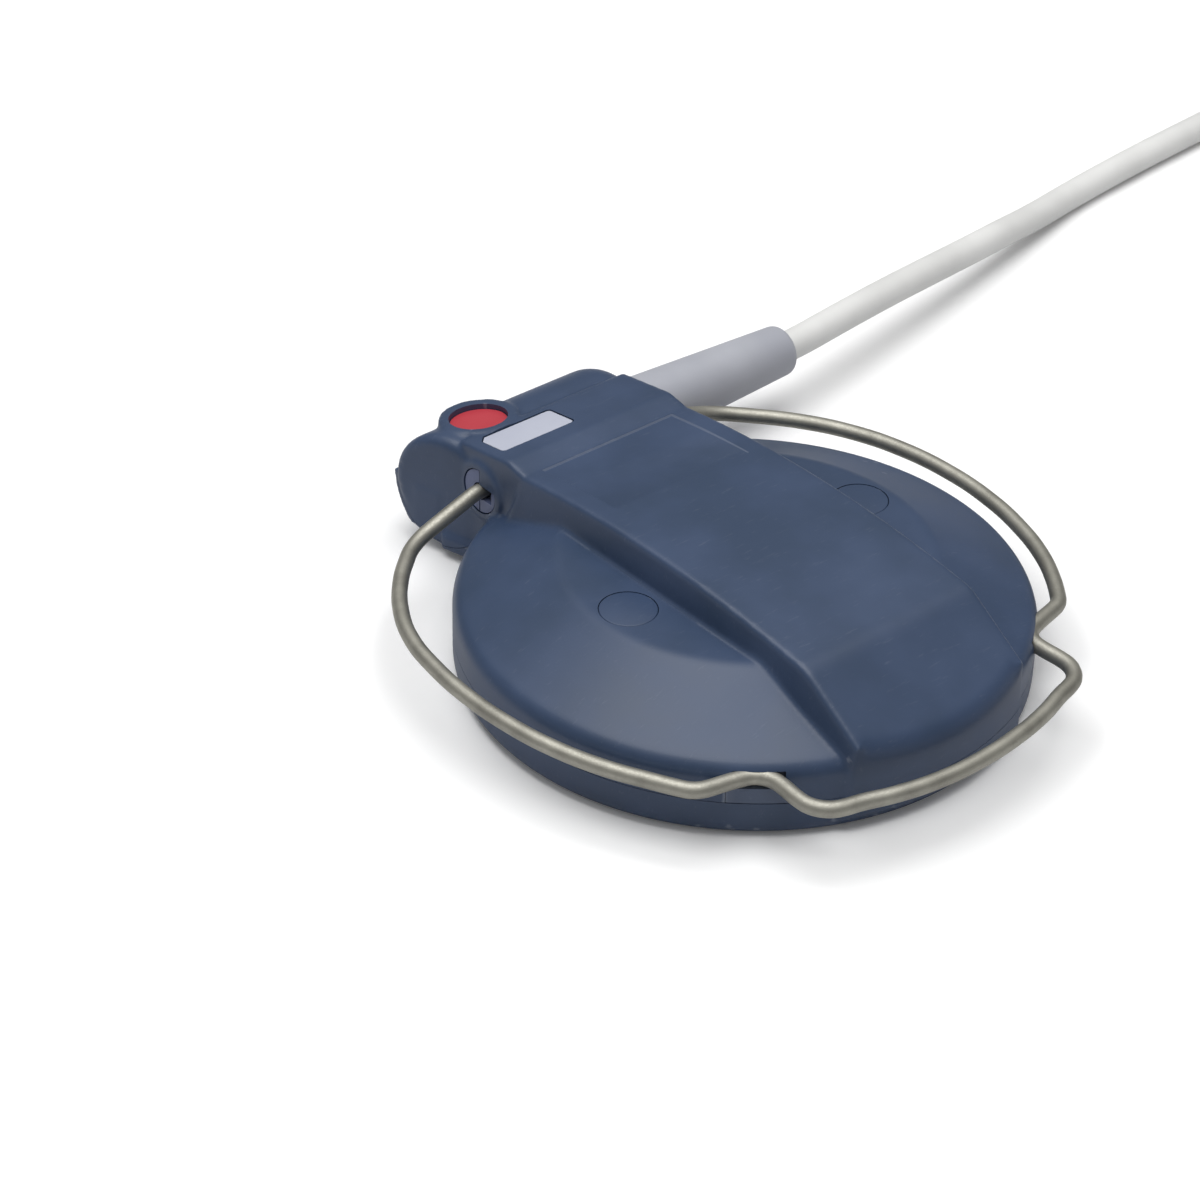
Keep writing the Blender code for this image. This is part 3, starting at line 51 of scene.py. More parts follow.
lens = bpy.data.cameras.new("camera")
lens.lens = LENS
lens.sensor_width = SENSOR
camera = bpy.data.objects.new("camera", lens)
bpy.context.scene.collection.objects.link(camera)
turn = Matrix((TO_THE_RIGHT, UPWARD, BACKWARD)).transposed().to_quaternion().to_matrix()
camera.matrix_world = Matrix.Translation(EYE) @ turn.to_4x4()
bpy.context.scene.camera = camera


# Cable: five-millimetre shielded lead in a pale grey PVC jacket. It leaves the boot level,
# sags to the table and is stored in a tied coil, and its last stretch ends in the plug.
DISC_AXIS_Y = -4.825
CABLE_DIAMETER = 5.3
TABLE_LAY = 2.75              # height of the cable's axis where it lies on the table
COIL_LAY = 3.45
COIL_CENTER = (232.0, 35.0)
COIL_LANES = (34.4, 29.1, 23.8)
COIL_LAYERS = 4
COIL_SIDE = 40.0              # radius of the stretches that run along the coil's outside
CROSSING = 60                 # degrees in which a turn changes lane or climbs a layer
COIL_STEP = 15                # degrees between the points of a turn
ROUTE_OUT = [(54.7, 50.6, 11.5), (57.5, 50.75, 11.5), (61.5, 51.25, 11.4), (66.5, 52.1, 11.2),
             (73.8, 53.5, 10.7), (81.6, 55.0, 10.1), (91.1, 56.9, 9.15), (100.6, 58.8, 8.1),
             (110.8, 61.0, 6.85), (121.0, 63.3, 5.6), (133.0, 66.2, 3.9),
             (146.0, 69.2, TABLE_LAY), (163.0, 71.2, TABLE_LAY), (183.0, 72.9, TABLE_LAY),
             (200.0, 74.1, TABLE_LAY), (216.0, 74.8, COIL_LAY)]
ROUTE_TO_PLUG = [(27.0, COIL_LAY), (20.0, 4.6), (13.0, 6.7), (7.5, 8.0), (4.3, 8.0)]


def drawn(x, y, z):
    """A point given in millimetres from the disc's axis, in the row frame."""
    return Vector((x, y + DISC_AXIS_Y, z)) * MM


def coil_keys():
    """Angle, radius and height wherever a turn starts or ends a change of lane or layer."""
    keys = [(-360, COIL_SIDE, COIL_LAY), (CROSSING - 360, COIL_LANES[0], COIL_LAY)]
    change = 0
    height = COIL_LAY
    for layer in range(COIL_LAYERS):
        lanes = COIL_LANES if layer % 2 == 0 else COIL_LANES[::-1]
        for lane, following in zip(lanes, lanes[1:]):
            keys += [(change, lane, height), (change + CROSSING, following, height)]
            change += 360
        if layer < COIL_LAYERS - 1:
            keys.append((change - CROSSING, lanes[-1], height))
            height += CABLE_DIAMETER
            keys.append((change, lanes[-1], height))
            change += 360 - 2 * CROSSING
    leave = change - CROSSING
    keys += [(leave, COIL_LANES[0], height), (leave + CROSSING - 10, COIL_SIDE, height),
             (leave + 150, COIL_SIDE, COIL_LAY)]
    return keys


def coil_route(step):
    """Points on the stored turns, clockwise from the coil's far side."""
    route = []
    keys = coil_keys()
    for (a, radius_a, height_a), (b, radius_b, height_b) in zip(keys, keys[1:]):
        count = max(1, round((b - a) / step))
        for index in range(count):
            share = index / count
            eased = share * share * (3 - 2 * share)
            angle = math.radians(-270 - (a + (b - a) * share))
            radius = radius_a + (radius_b - radius_a) * eased
            route.append((COIL_CENTER[0] + radius * math.cos(angle),
                          COIL_CENTER[1] + radius * math.sin(angle),
                          height_a + (height_b - height_a) * eased))
    return route


def cord_curve(name, points, diameter, rings):
    """Round cord or wire on one smooth spline through the points."""
    data = bpy.data.curves.new(name, "CURVE")
    data.dimensions = "3D"
    data.bevel_depth = diameter / 2 * MM
    data.bevel_resolution = 6
    data.resolution_u = rings
    data.use_fill_caps = True
    spline = data.splines.new("BEZIER")
    spline.bezier_points.add(len(points) - 1)
    for knot, point in zip(spline.bezier_points, points):
        knot.co = drawn(*point)
        knot.handle_left_type = "AUTO"
        knot.handle_right_type = "AUTO"
    piece = bpy.data.objects.new(name, data)
    bpy.context.scene.collection.objects.link(piece)
    return piece


plug_x = COIL_CENTER[0] + COIL_SIDE
cable_route = ROUTE_OUT + coil_route(COIL_STEP) + [(plug_x, COIL_CENTER[1], COIL_LAY)]
cable_route += [(plug_x, y, z) for y, z in ROUTE_TO_PLUG]
cable = cord_curve("cable_run", cable_route, CABLE_DIAMETER, 4)


def linear(code):
    """An sRGB hex colour as linear red, green, blue and alpha."""
    parts = [int(code[i:i + 2], 16) / 255 for i in (1, 3, 5)]
    return [c / 12.92 if c <= 0.04045 else ((c + 0.055) / 1.055) ** 2.4 for c in parts] + [1.0]


def add(tree, kind, settings, sockets):
    """Adds one node, with its settings and with a value or a link on each named socket."""
    made = tree.nodes.new(kind)
    for name, value in settings.items():
        setattr(made, name, value)
    for name, value in sockets.items():
        if isinstance(value, bpy.types.NodeSocket):
            tree.links.new(value, made.inputs[name])
        else:
            made.inputs[name].default_value = value
    return made


def noise(tree, place, size, detail, roughness):
    """Noise whose patches are about this many millimetres wide."""
    return add(tree, "ShaderNodeTexNoise", {},
               {"Vector": place, "Scale": 1 / (size * MM), "Detail": detail,
                "Roughness": roughness}).outputs["Fac"]


def spread(tree, value, low, high, to_low=0.0, to_high=1.0):
    """A value's range between low and high, stretched over another range."""
    return add(tree, "ShaderNodeMapRange", {},
               {"Value": value, "From Min": low, "From Max": high,
                "To Min": to_low, "To Max": to_high}).outputs["Result"]


def reckon(tree, operation, *values, clamp=False):
    """The result of one sum on up to three values or sockets."""
    return add(tree, "ShaderNodeMath", {"operation": operation, "use_clamp": clamp},
               dict(enumerate(values))).outputs["Value"]


def blank(name):
    """A new material with an empty node tree, and the tree."""
    material = bpy.data.materials.new(name)
    material.use_nodes = True
    material.node_tree.nodes.clear()
    return material, material.node_tree


TONE_PATCH = 18.0             # width of the slow changes of tone
SCUFF = 4.0
PALE_OF_WEAR_AND_HIGHLIGHT = "#b4bac6"       # colour that scuffs and worn edges turn towards, and that edges are painted towards as a painted highlight


def moulded(name, base, shade, light, roughness, grain, depth, wear_and_edge_highlight=0.0):
    """Moulded plastic or rubber: slow changes of tone, fine grain, scuffs, and convex edges made
    paler, partly as wear and partly as a painted highlight.
    """
    material, tree = blank(name)
    place = add(tree, "ShaderNodeTexCoord", {}, {}).outputs["Object"]
    cloud = noise(tree, place, TONE_PATCH, 3.0, 0.55)
    fine = noise(tree, place, grain, 2.0, 0.6)
    tone = add(tree, "ShaderNodeValToRGB", {}, {"Fac": cloud})
    ramp = tone.color_ramp
    ramp.elements[0].position = 0.36
    ramp.elements[0].color = linear(shade)
    ramp.elements[1].position = 0.66
    ramp.elements[1].color = linear(light)
    ramp.elements.new(0.5).color = linear(base)
    along = add(tree, "ShaderNodeMapping", {}, {"Vector": place, "Rotation": (0.2, 0.1, 0.7),
                                               "Scale": (1.0, 7.0, 3.0)}).outputs["Vector"]
    marks = spread(tree, noise(tree, along, SCUFF, 3.0, 0.7), 0.62, 0.74)
    # Convex edges are made paler by their pointiness, partly as wear and partly as a painted
    # highlight; the scuff marks are wear.
    corner = add(tree, "ShaderNodeNewGeometry", {}, {}).outputs["Pointiness"]
    edge_wear_and_highlight = spread(tree, corner, 0.54, 0.66, to_high=wear_and_edge_highlight * 1.6)
    rubbed = reckon(tree, "MULTIPLY", marks, wear_and_edge_highlight * 0.4)
    pale = reckon(tree, "ADD", edge_wear_and_highlight, rubbed)
    worn_and_highlit = add(tree, "ShaderNodeMix", {"data_type": "RGBA"},
                {0: pale, 6: tone.outputs["Color"], 7: linear(PALE_OF_WEAR_AND_HIGHLIGHT)})
    pale.node.name = "pale"
    worn_and_highlit.name = "worn_and_highlit"
    uneven = spread(tree, cloud, 0.3, 0.7, roughness - 0.04, roughness + 0.05)
    bump = add(tree, "ShaderNodeBump", {}, {"Strength": 0.35, "Distance": depth * MM,
                                            "Height": fine})
    shader = add(tree, "ShaderNodeBsdfPrincipled", {},
                 {"Base Color": worn_and_highlit.outputs[2], "Roughness": reckon(tree, "ADD", uneven, rubbed),
                  "Normal": bump.outputs["Normal"], "IOR": 1.49})
    add(tree, "ShaderNodeOutputMaterial", {}, {"Surface": shader.outputs["BSDF"]})
    return material


def dress(piece, material):
    """Gives a piece one material in its only slot."""
    piece.data.materials.clear()
    piece.data.materials.append(material)


# Its convex edges are made a little paler, partly as wear and partly as a painted highlight.
cable_jacket = moulded("pvc_cable_jacket", "#e6e6e4", "#e0e0de", "#ececea", 0.45, 0.9, 0.02, 0.03)
dress(cable, cable_jacket)
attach(cable, "root")
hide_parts("cable", "cable_coil", "plug_lead")


# Belt wire: one length of 2.5 mm stainless wire, cold bent to a loop round the disc. Its two
# kinks snap into pockets in the disc's rim, and its ends sit in bushes on the neck.
WIRE_DIAMETER = 2.5
DISC_RADIUS = 44.4
NECK_HALF_WIDTH = 16.9
PIVOT = (42.8, 15.69)         # y and z of the wire's ends
KINK_HEIGHT = 10.5
KINK_ANGLE = -51.7
KINK_DEPTH = 2.1              # how far a kink's point lies inside the rim
WIRE_SLOPE = 0.015
INTO_NECK = 3.2
OUT_OF_NECK = 1.3
END_BEND = 4.0
METAL_PATCH = 6.0             # width of the changes of tone on metal
# Each corner has its angle on the disc, its distance beyond the rim and its bend's radius.
WIRE_RIGHT = [(53.5, 8.2, 9.0), (46.8, 7.5, 0), (37.7, 7.2, 0), (28.2, 6.85, 0), (17.9, 6.2, 0),
              (6.2, 5.35, 0), (-5.0, 4.7, 0), (-15.0, 4.3, 0), (-24.0, 4.1, 0), (-32.2, 3.8, 0),
              (-39.6, 3.6, 4.5), (KINK_ANGLE, -KINK_DEPTH, 4.2), (-59.1, 8.0, 5.0)]
WIRE_FRONT = [(-66.5, 6.5, 0), (-73.0, 6.2, 0), (-81.5, 5.9, 0), (-90.0, 5.9, 0), (-98.5, 6.1, 0),
              (-107.0, 6.3, 0), (-113.5, 6.5, 0)]
WIRE_LEFT = [(53.5, 8.2, 9.0), (43.1, 8.0, 0), (34.5, 7.8, 0), (26.0, 7.1, 0), (17.5, 5.75, 0),
             (8.0, 4.5, 0), (-2.0, 3.6, 0), (-13.0, 3.1, 0), (-23.0, 2.9, 0), (-31.6, 2.9, 0),
             (-39.6, 3.6, 4.5), (KINK_ANGLE, -KINK_DEPTH, 4.2), (-59.1, 8.0, 5.0)]


def wire_corner(spot, side):
    """A corner of the loop, from its angle and its distance beyond the disc's rim."""
    angle = math.radians(spot[0])
    radius = DISC_RADIUS + spot[1]
    kink_y = (DISC_RADIUS - KINK_DEPTH) * math.sin(math.radians(KINK_ANGLE))
    y = radius * math.sin(angle)
    z = KINK_HEIGHT + WIRE_SLOPE * (y - kink_y)
    return Vector((side * radius * math.cos(angle), y, z)), spot[2]


def bent_route(corners, steps):
    """The corners in order, each with its own bend."""
    route = [corners[0][0]]
    for (before, _), (here, radius), (after, _) in zip(corners, corners[1:], corners[2:]):
        inward = (before - here).normalized()
        outward = (after - here).normalized()
        half = inward.angle(outward) / 2
        if radius == 0 or half > math.radians(88):
            route.append(here)
            continue
        middle = here + (inward + outward).normalized() * (radius / math.sin(half))
        first = (here + inward * radius / math.tan(half) - middle).normalized()
        last = (here + outward * radius / math.tan(half) - middle).normalized()
        route += [middle + first.slerp(last, index / steps) * radius for index in range(steps + 1)]
    return route + [corners[-1][0]]


def wire_end(side):
    """The wire's end inside its bush, and the bend where it leaves the neck."""
    return [(Vector((side * (NECK_HALF_WIDTH - INTO_NECK), *PIVOT)), 0),
            (Vector((side * (NECK_HALF_WIDTH + OUT_OF_NECK), *PIVOT)), END_BEND)]


def metal(name, base, shade, roughness, grain, depth):
    """Bare or plated metal: two tones, uneven roughness and a fine surface."""
    material, tree = blank(name)
    place = add(tree, "ShaderNodeTexCoord", {}, {}).outputs["Object"]
    cloud = noise(tree, place, METAL_PATCH, 4.0, 0.6)
    fine = noise(tree, place, grain, 2.0, 0.6)
    tone = add(tree, "ShaderNodeValToRGB", {}, {"Fac": cloud})
    tone.color_ramp.elements[0].position = 0.35
    tone.color_ramp.elements[0].color = linear(shade)
    tone.color_ramp.elements[1].position = 0.65
    tone.color_ramp.elements[1].color = linear(base)
    rough = spread(tree, fine, 0.3, 0.7, roughness - 0.06, roughness + 0.08)
    bump = add(tree, "ShaderNodeBump", {}, {"Strength": 0.4, "Distance": depth * MM,
                                            "Height": fine})
    shader = add(tree, "ShaderNodeBsdfPrincipled", {},
                 {"Base Color": tone.outputs["Color"], "Roughness": rough,
                  "Normal": bump.outputs["Normal"], "Metallic": 1.0})
    add(tree, "ShaderNodeOutputMaterial", {}, {"Surface": shader.outputs["BSDF"]})
    return material


wire_corners = wire_end(1) + [wire_corner(spot, 1) for spot in WIRE_RIGHT + WIRE_FRONT]
wire_corners += [wire_corner(spot, -1) for spot in WIRE_LEFT[::-1]] + wire_end(-1)[::-1]
wire_route = bent_route(wire_corners, 5)
belt_wire = cord_curve("belt_wire_loop", wire_route, WIRE_DIAMETER, 6)
dress(belt_wire, metal("drawn_stainless_wire", "#b2b0a6", "#9d9b92", 0.56, 0.3, 0.05))
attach(belt_wire, "root")
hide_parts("belt_wire")


# Outer form of the case: a round body, an arched spine over it and a neck behind. Both
# housings are moulded to it in slate-blue ABS with a fine satin texture, and its edges and
# corners are all softly rounded.
RIM_HEIGHT = 12.1
PLATEAU_RADIUS = 28.6
PLATEAU_HEIGHT = 19.3
BOTTOM_EDGE = 2.7
RIM_EDGE = 1.8
PLATEAU_EDGE = 0.8
SPINE_HALF_WIDTH = 16.85
SPINE_FOOT = 2.5
SPINE_FRONT = 0.7             # how far the spine stands out in front of the rim
SPINE_DRAFT = 0.14
ARCH_TOP = 25.1
ARCH_MIDDLE = 3.2
ARCH_FLATNESS = 430.0
FRONT_SLOPE = 0.637
CREASE = -30.5
CREASE_TURN = 0.48            # change of slope at the crease
SOFT = 1.5                    # how far the crease is rounded to each side
PLATFORM_FOOT = 36.9
PLATFORM_EDGE = 38.6
PLATFORM_BACK = 48.4
PLATFORM_STEP = 1.1
PLATFORM_SLOPE = 0.158
PLATFORM_TILT = -math.atan(PLATFORM_SLOPE)
BARREL = (50.7, 11.99)        # y and z of the neck barrel's axis
BARREL_RADIUS = 9.6
BARREL_LEFT = -21.2
DOME_START = 12.9
DOME_REACH = 7.8
CRADLE_WALL = 0.9
CRADLE_LEFT = -20.3
NECK_RIGHT = 20.0
END_X = -17.2                 # where the slanted left end crosses END_Y
END_Y = 46.0
END_NORMAL = (-0.963, -0.27, 0)
BOOT_AXIS = (50.6, 11.49)
BOSS = (-9.85, 52.6, 21.35)   # on the platform's plane
BOSS_RADIUS = 6.45
BOSS_SHIFT = (0.35, 0.45, 0)  # of the boss from the disc that is set in it
RING_FACE = 17.5
RIM_JOINT = 6.3
DECK_JOINT = 4.5
VOXEL = 0.42
CLOSE = 0.01


def start_edit(piece):
    """Selects only this piece and opens it in edit mode."""
    bpy.ops.object.select_all(action="DESELECT")
    piece.select_set(True)
    bpy.context.view_layer.objects.active = piece
    bpy.ops.object.mode_set(mode="EDIT")


def pick(piece, kind, wanted):
    """In edit mode, selects verts, edges or faces by the box they span, in millimetres."""
    bpy.ops.mesh.select_mode(type={"verts": "VERT", "edges": "EDGE", "faces": "FACE"}[kind])
    bpy.ops.mesh.select_all(action="DESELECT")
    shape = bmesh.from_edit_mesh(piece.data)
    for item in getattr(shape, kind):
        ends = [item] if kind == "verts" else item.verts
        places = [(end.co.x / MM, end.co.y / MM - DISC_AXIS_Y, end.co.z / MM) for end in ends]
        low = Vector([min(place[axis] for place in places) for axis in range(3)])
        high = Vector([max(place[axis] for place in places) for axis in range(3)])
        if wanted(low, high):
            item.select_set(True)
    bmesh.update_edit_mesh(piece.data)


def end_edit():
    """Goes back to object mode."""
    bpy.ops.object.mode_set(mode="OBJECT")


def shift(x, y, z):
    """Moves what is selected, in millimetres."""
    bpy.ops.transform.translate(value=(x * MM, y * MM, z * MM))


def slice_all(point, normal, **sides):
    """Cuts the whole mesh along a plane; sides says what is cleared and filled."""
    bpy.ops.mesh.select_all(action="SELECT")
    bpy.ops.mesh.bisect(plane_co=drawn(*point), plane_no=normal, **sides)


def round_edges(piece, width, segments, wanted):
    """Bevels the edges that are wanted."""
    start_edit(piece)
    pick(piece, "edges", wanted)
    bpy.ops.mesh.bevel(offset=width * MM, segments=segments, profile=0.5, affect="EDGES")
    end_edit()


def settle(name):
    """Names the primitive just added and puts its place into its mesh."""
    piece = bpy.context.active_object
    piece.name = name
    bpy.ops.object.transform_apply(location=True, rotation=True, scale=True)
    return piece


def block(name, low, high, turn=0.0):
    """A box between two corners, turned about the disc's axis."""
    bpy.ops.object.select_all(action="DESELECT")
    middle = Matrix.Rotation(turn, 3, "Z") @ Vector([(a + b) / 2 for a, b in zip(low, high)])
    bpy.ops.mesh.primitive_cube_add(size=1, location=drawn(*middle), rotation=(0, 0, turn),
                                    scale=[(b - a) * MM for a, b in zip(low, high)])
    return settle(name)


def bar(name, axis, radius, start, end, middle, sides):
    """A round bar along X, Y or Z, centred on the two other coordinates of its middle."""
    bpy.ops.object.select_all(action="DESELECT")
    place = list(middle)
    place.insert("XYZ".index(axis), (start + end) / 2)
    turn = {"X": (0, math.pi / 2, 0), "Y": (-math.pi / 2, 0, 0), "Z": (0, 0, 0)}[axis]
    bpy.ops.mesh.primitive_cylinder_add(vertices=sides, radius=radius * MM,
                                        depth=(end - start) * MM,
                                        location=drawn(*place), rotation=turn)
    return settle(name)


def tilted_bar(name, radius, low, high):
    """A round bar through the boss, square to its sloping top."""
    bpy.ops.object.select_all(action="DESELECT")
    upright = Vector((0, 0, (low + high) / 2))
    middle = Vector(BOSS) + Matrix.Rotation(PLATFORM_TILT, 3, "X") @ upright
    bpy.ops.mesh.primitive_cylinder_add(vertices=96, radius=radius * MM, depth=(high - low) * MM,
                                        location=drawn(*middle), rotation=(PLATFORM_TILT, 0, 0))
    return settle(name)


def merge(piece, tool, how):
    """Joins, cuts or intersects a piece with a tool, which is used up."""
    bpy.ops.object.select_all(action="DESELECT")
    bpy.context.view_layer.objects.active = piece
    bpy.ops.object.modifier_add(type="BOOLEAN")
    change = piece.modifiers[-1]
    change.operation = how
    change.solver = "MANIFOLD"
    change.object = tool
    bpy.ops.object.modifier_apply(modifier=change.name)
    bpy.data.objects.remove(tool, do_unlink=True)
    return piece


def join(piece, tool):
    """Adds a tool's form to a piece."""
    return merge(piece, tool, "UNION")


def cut(piece, tool):
    """Takes a tool's form out of a piece."""
    return merge(piece, tool, "DIFFERENCE")


def top_line(y):
    """Height of the spine's top, from the front slope over the arch to the platform."""
    arch = ARCH_TOP - (y - ARCH_MIDDLE) ** 2 / ARCH_FLATNESS
    if y > PLATFORM_FOOT:
        foot = ARCH_TOP - (PLATFORM_FOOT - ARCH_MIDDLE) ** 2 / ARCH_FLATNESS
        return foot + PLATFORM_STEP - PLATFORM_SLOPE * (y - PLATFORM_EDGE)
    if y >= CREASE + SOFT:
        return arch
    if y > CREASE - SOFT:
        return arch - CREASE_TURN * (CREASE + SOFT - y) ** 2 / (4 * SOFT)
    crest = ARCH_TOP - (CREASE - ARCH_MIDDLE) ** 2 / ARCH_FLATNESS
    return crest - FRONT_SLOPE * (CREASE - y)


def ridge(name, half_width, stations, low, drop, draft):
    """A bar along Y whose top follows the spine's top line and whose sides may be drafted."""
    start = 20.0
    piece = block(name, (-half_width, stations[0], low), (half_width, stations[-1], start))
    start_edit(piece)
    for y in stations[1:-1]:
        slice_all((0, y, 0), (0, 1, 0))
    for y in stations:
        pick(piece, "verts", lambda a, b: abs(a.y - y) < CLOSE and a.z > 15)
        shift(0, 0, top_line(y) - drop - start)
        for side in (-1, 1):
            pick(piece, "verts",
                 lambda a, b: abs(a.y - y) < CLOSE and a.z < low + CLOSE and a.x * side > 0)
            shift(side * draft(y), 0, 0)
    end_edit()
    return piece


case = bar("case_form", "Z", DISC_RADIUS, 0.0, RIM_HEIGHT, (0, 0), 256)
start_edit(case)
pick(case, "faces", lambda a, b: a.z > RIM_HEIGHT - CLOSE)
bpy.ops.mesh.extrude_region_move(
    TRANSFORM_OT_translate={"value": (0, 0, (PLATEAU_HEIGHT - RIM_HEIGHT) * MM)})
taper = PLATEAU_RADIUS / DISC_RADIUS
bpy.ops.transform.resize(value=(taper, taper, 1), center_override=drawn(0, 0, PLATEAU_HEIGHT))
end_edit()
round_edges(case, BOTTOM_EDGE, 8, lambda a, b: b.z < CLOSE)
round_edges(case, RIM_EDGE, 8,
            lambda a, b: abs(a.z - RIM_HEIGHT) < CLOSE and abs(b.z - RIM_HEIGHT) < CLOSE)
round_edges(case, PLATEAU_EDGE, 3, lambda a, b: a.z > PLATEAU_HEIGHT - CLOSE)

arch_stations = [CREASE + SOFT + (PLATFORM_FOOT - CREASE - SOFT) * step / 16
                 for step in range(17)]
crease_stations = [CREASE - SOFT + SOFT / 4 * step for step in range(8)]


def spine_draft(y):
    """How far the spine's foot stands out to each side."""
    if y < -45:
        return 0.3
    return SPINE_DRAFT * (top_line(y) - SPINE_FOOT) if y <= PLATFORM_FOOT else 0.05


def on_front_arc(a, b):
    """Whether an edge lies on the rounded front of the spine's top."""
    reach = math.hypot((a.x + b.x) / 2, (a.y + b.y) / 2)
    return (b.y < -38 and a.z > 8 and b.x - a.x > 0.3 and b.z - a.z < 0.8
            and abs(reach - DISC_RADIUS - SPINE_FRONT) < 0.3)


spine = ridge("spine", SPINE_HALF_WIDTH,
              [-46.0] + crease_stations + arch_stations + [PLATFORM_EDGE, PLATFORM_BACK],
              SPINE_FOOT, 0.0, spine_draft)
round_edges(spine, 0.7, 4, lambda a, b: a.z > 8 and b.x - a.x < 0.1 and b.y - a.y > 0.1)
round_edges(spine, 0.35, 2, lambda a, b: a.y > PLATFORM_BACK - CLOSE and a.z > 15)
trim = bar("front_trim", "Z", DISC_RADIUS + SPINE_FRONT, -1.0, 30.0, (0, 0), 256)
start_edit(trim)
pick(trim, "verts", lambda a, b: a.y >= -CLOSE)
shift(0, 30.0, 0)
end_edit()
merge(spine, trim, "INTERSECT")
round_edges(spine, 2.2, 5, on_front_arc)

barrel = bar("barrel", "X", BARREL_RADIUS, BARREL_LEFT, DOME_START, BARREL, 128)
bpy.ops.object.select_all(action="DESELECT")
bpy.ops.mesh.primitive_uv_sphere_add(segments=128, ring_count=64, radius=BARREL_RADIUS * MM,
                                     location=drawn(DOME_START, *BARREL),
                                     rotation=(0, math.pi / 2, 0),
                                     scale=(1, 1, DOME_REACH / BARREL_RADIUS))
join(barrel, settle("dome"))
cut(barrel, block("dome_trim", (NECK_RIGHT, 30.0, -5.0), (30.0, 70.0, 30.0)))
cradle = bar("cradle", "X", BARREL_RADIUS + CRADLE_WALL, CRADLE_LEFT, NECK_RIGHT, BARREL, 128)
start_edit(cradle)
slice_all((0, *BARREL), (0, 0, 1), clear_outer=True, use_fill=True)
slice_all((0, *BARREL), (0, 1, 0), clear_inner=True, use_fill=True)
end_edit()
deck = block("deck", (-NECK_RIGHT, DISC_RADIUS - 8.0, BARREL[1] - BARREL_RADIUS - CRADLE_WALL),
             (NECK_RIGHT, BARREL[0] + CLOSE, DECK_JOINT))
for piece, out, width in ((barrel, 0.0, 1.7), (cradle, 0.15, 1.2), (deck, 0.9, 0.6)):
    start_edit(piece)
    slice_all((END_X - out, END_Y, 0), END_NORMAL, clear_outer=True, use_fill=True)
    bpy.ops.mesh.bevel(offset=width * MM, segments=5, profile=0.5, affect="EDGES")
    end_edit()
join(cradle, deck)

collar = bar("collar", "X", 6.1, 13.9, 20.3, BOOT_AXIS, 96)
round_edges(collar, 0.4, 3, lambda a, b: a.x > 20.2)
boss = tilted_bar("boss", BOSS_RADIUS, -6.0, 0.3)
start_edit(boss)
bpy.ops.mesh.select_all(action="SELECT")
shift(*BOSS_SHIFT)
end_edit()
round_edges(boss, 0.4, 3,
            lambda a, b: b.z - a.z < 0.3 and a.z > BOSS[2] - 1.5 and b.x - a.x < 1.0)
rings = []
for side in (-1, 1):
    ring = bar("bush_ring", "X", 5.0, *sorted((side * 15.9, side * RING_FACE)), PIVOT, 96)
    round_edges(ring, 0.25, 2, lambda a, b: a.x * side > 17.4 and b.x * side > 17.4)
    rings.append(ring)
for addition in [spine, barrel, cradle, collar, boss] + rings:
    join(case, addition)

bpy.ops.object.select_all(action="DESELECT")
bpy.context.view_layer.objects.active = case
bpy.ops.object.modifier_add(type="REMESH")
case.modifiers[-1].mode = "VOXEL"
case.modifiers[-1].voxel_size = VOXEL * MM
bpy.ops.object.modifier_apply(modifier=case.modifiers[-1].name)
bpy.ops.object.modifier_add(type="SMOOTH")
case.modifiers[-1].factor = 0.5
case.modifiers[-1].iterations = 2
bpy.ops.object.modifier_apply(modifier=case.modifiers[-1].name)


# Upper housing: injection-moulded ABS shell, 2 mm thick, with a shallow panel on the spine, a
# label pocket, the seat of the code disc and pockets in the rim for the wire. It is screwed
# down on the lower housing from above.
SCREW_X = 23.5
HOLLOW_RADIUS = 42.4
HOLLOW_TOP_RADIUS = 27.6
HOLLOW_TOP = 17.3
ROOF = 2.2                    # thickness of the spine's top
LEAD_HEIGHT = 13.49
PANEL_HALF_WIDTH = 13.0
PANEL_FRONT = 6.0
PANEL_LENGTH = 26.2
PANEL_STEPS = 8
PANEL_DEPTH = 0.3             # at the back; the panel runs out to nothing at its front
PANEL_FADE = 0.15
PANEL_FLARE = 9.0             # how far its walls lean out
POCKET_TURN = {1: math.radians(-50.5), -1: math.radians(180 + 50.5)}


def above_joint(shut):
    """All that lies above the joint of the two housings, less a part of the seam."""
    room = block("above", (-60.0, -60.0, RIM_JOINT + shut), (60.0, 43.0, 60.0))
    join(room, block("above_deck", (-60.0, 42.5, DECK_JOINT + shut), (60.0, 51.0, 60.0)))
    join(room, bar("above_cradle", "X", BARREL_RADIUS - shut, -60.0, 60.0, BARREL, 128))
    return join(room, block("above_back", (-60.0, 50.0, BARREL[1] + shut), (60.0, 80.0, 60.0)))


def twin(piece, name):
    """A second piece with its own mesh."""
    copy = piece.copy()
    copy.data = piece.data.copy()
    copy.name = name
    bpy.context.scene.collection.objects.link(copy)
    return copy


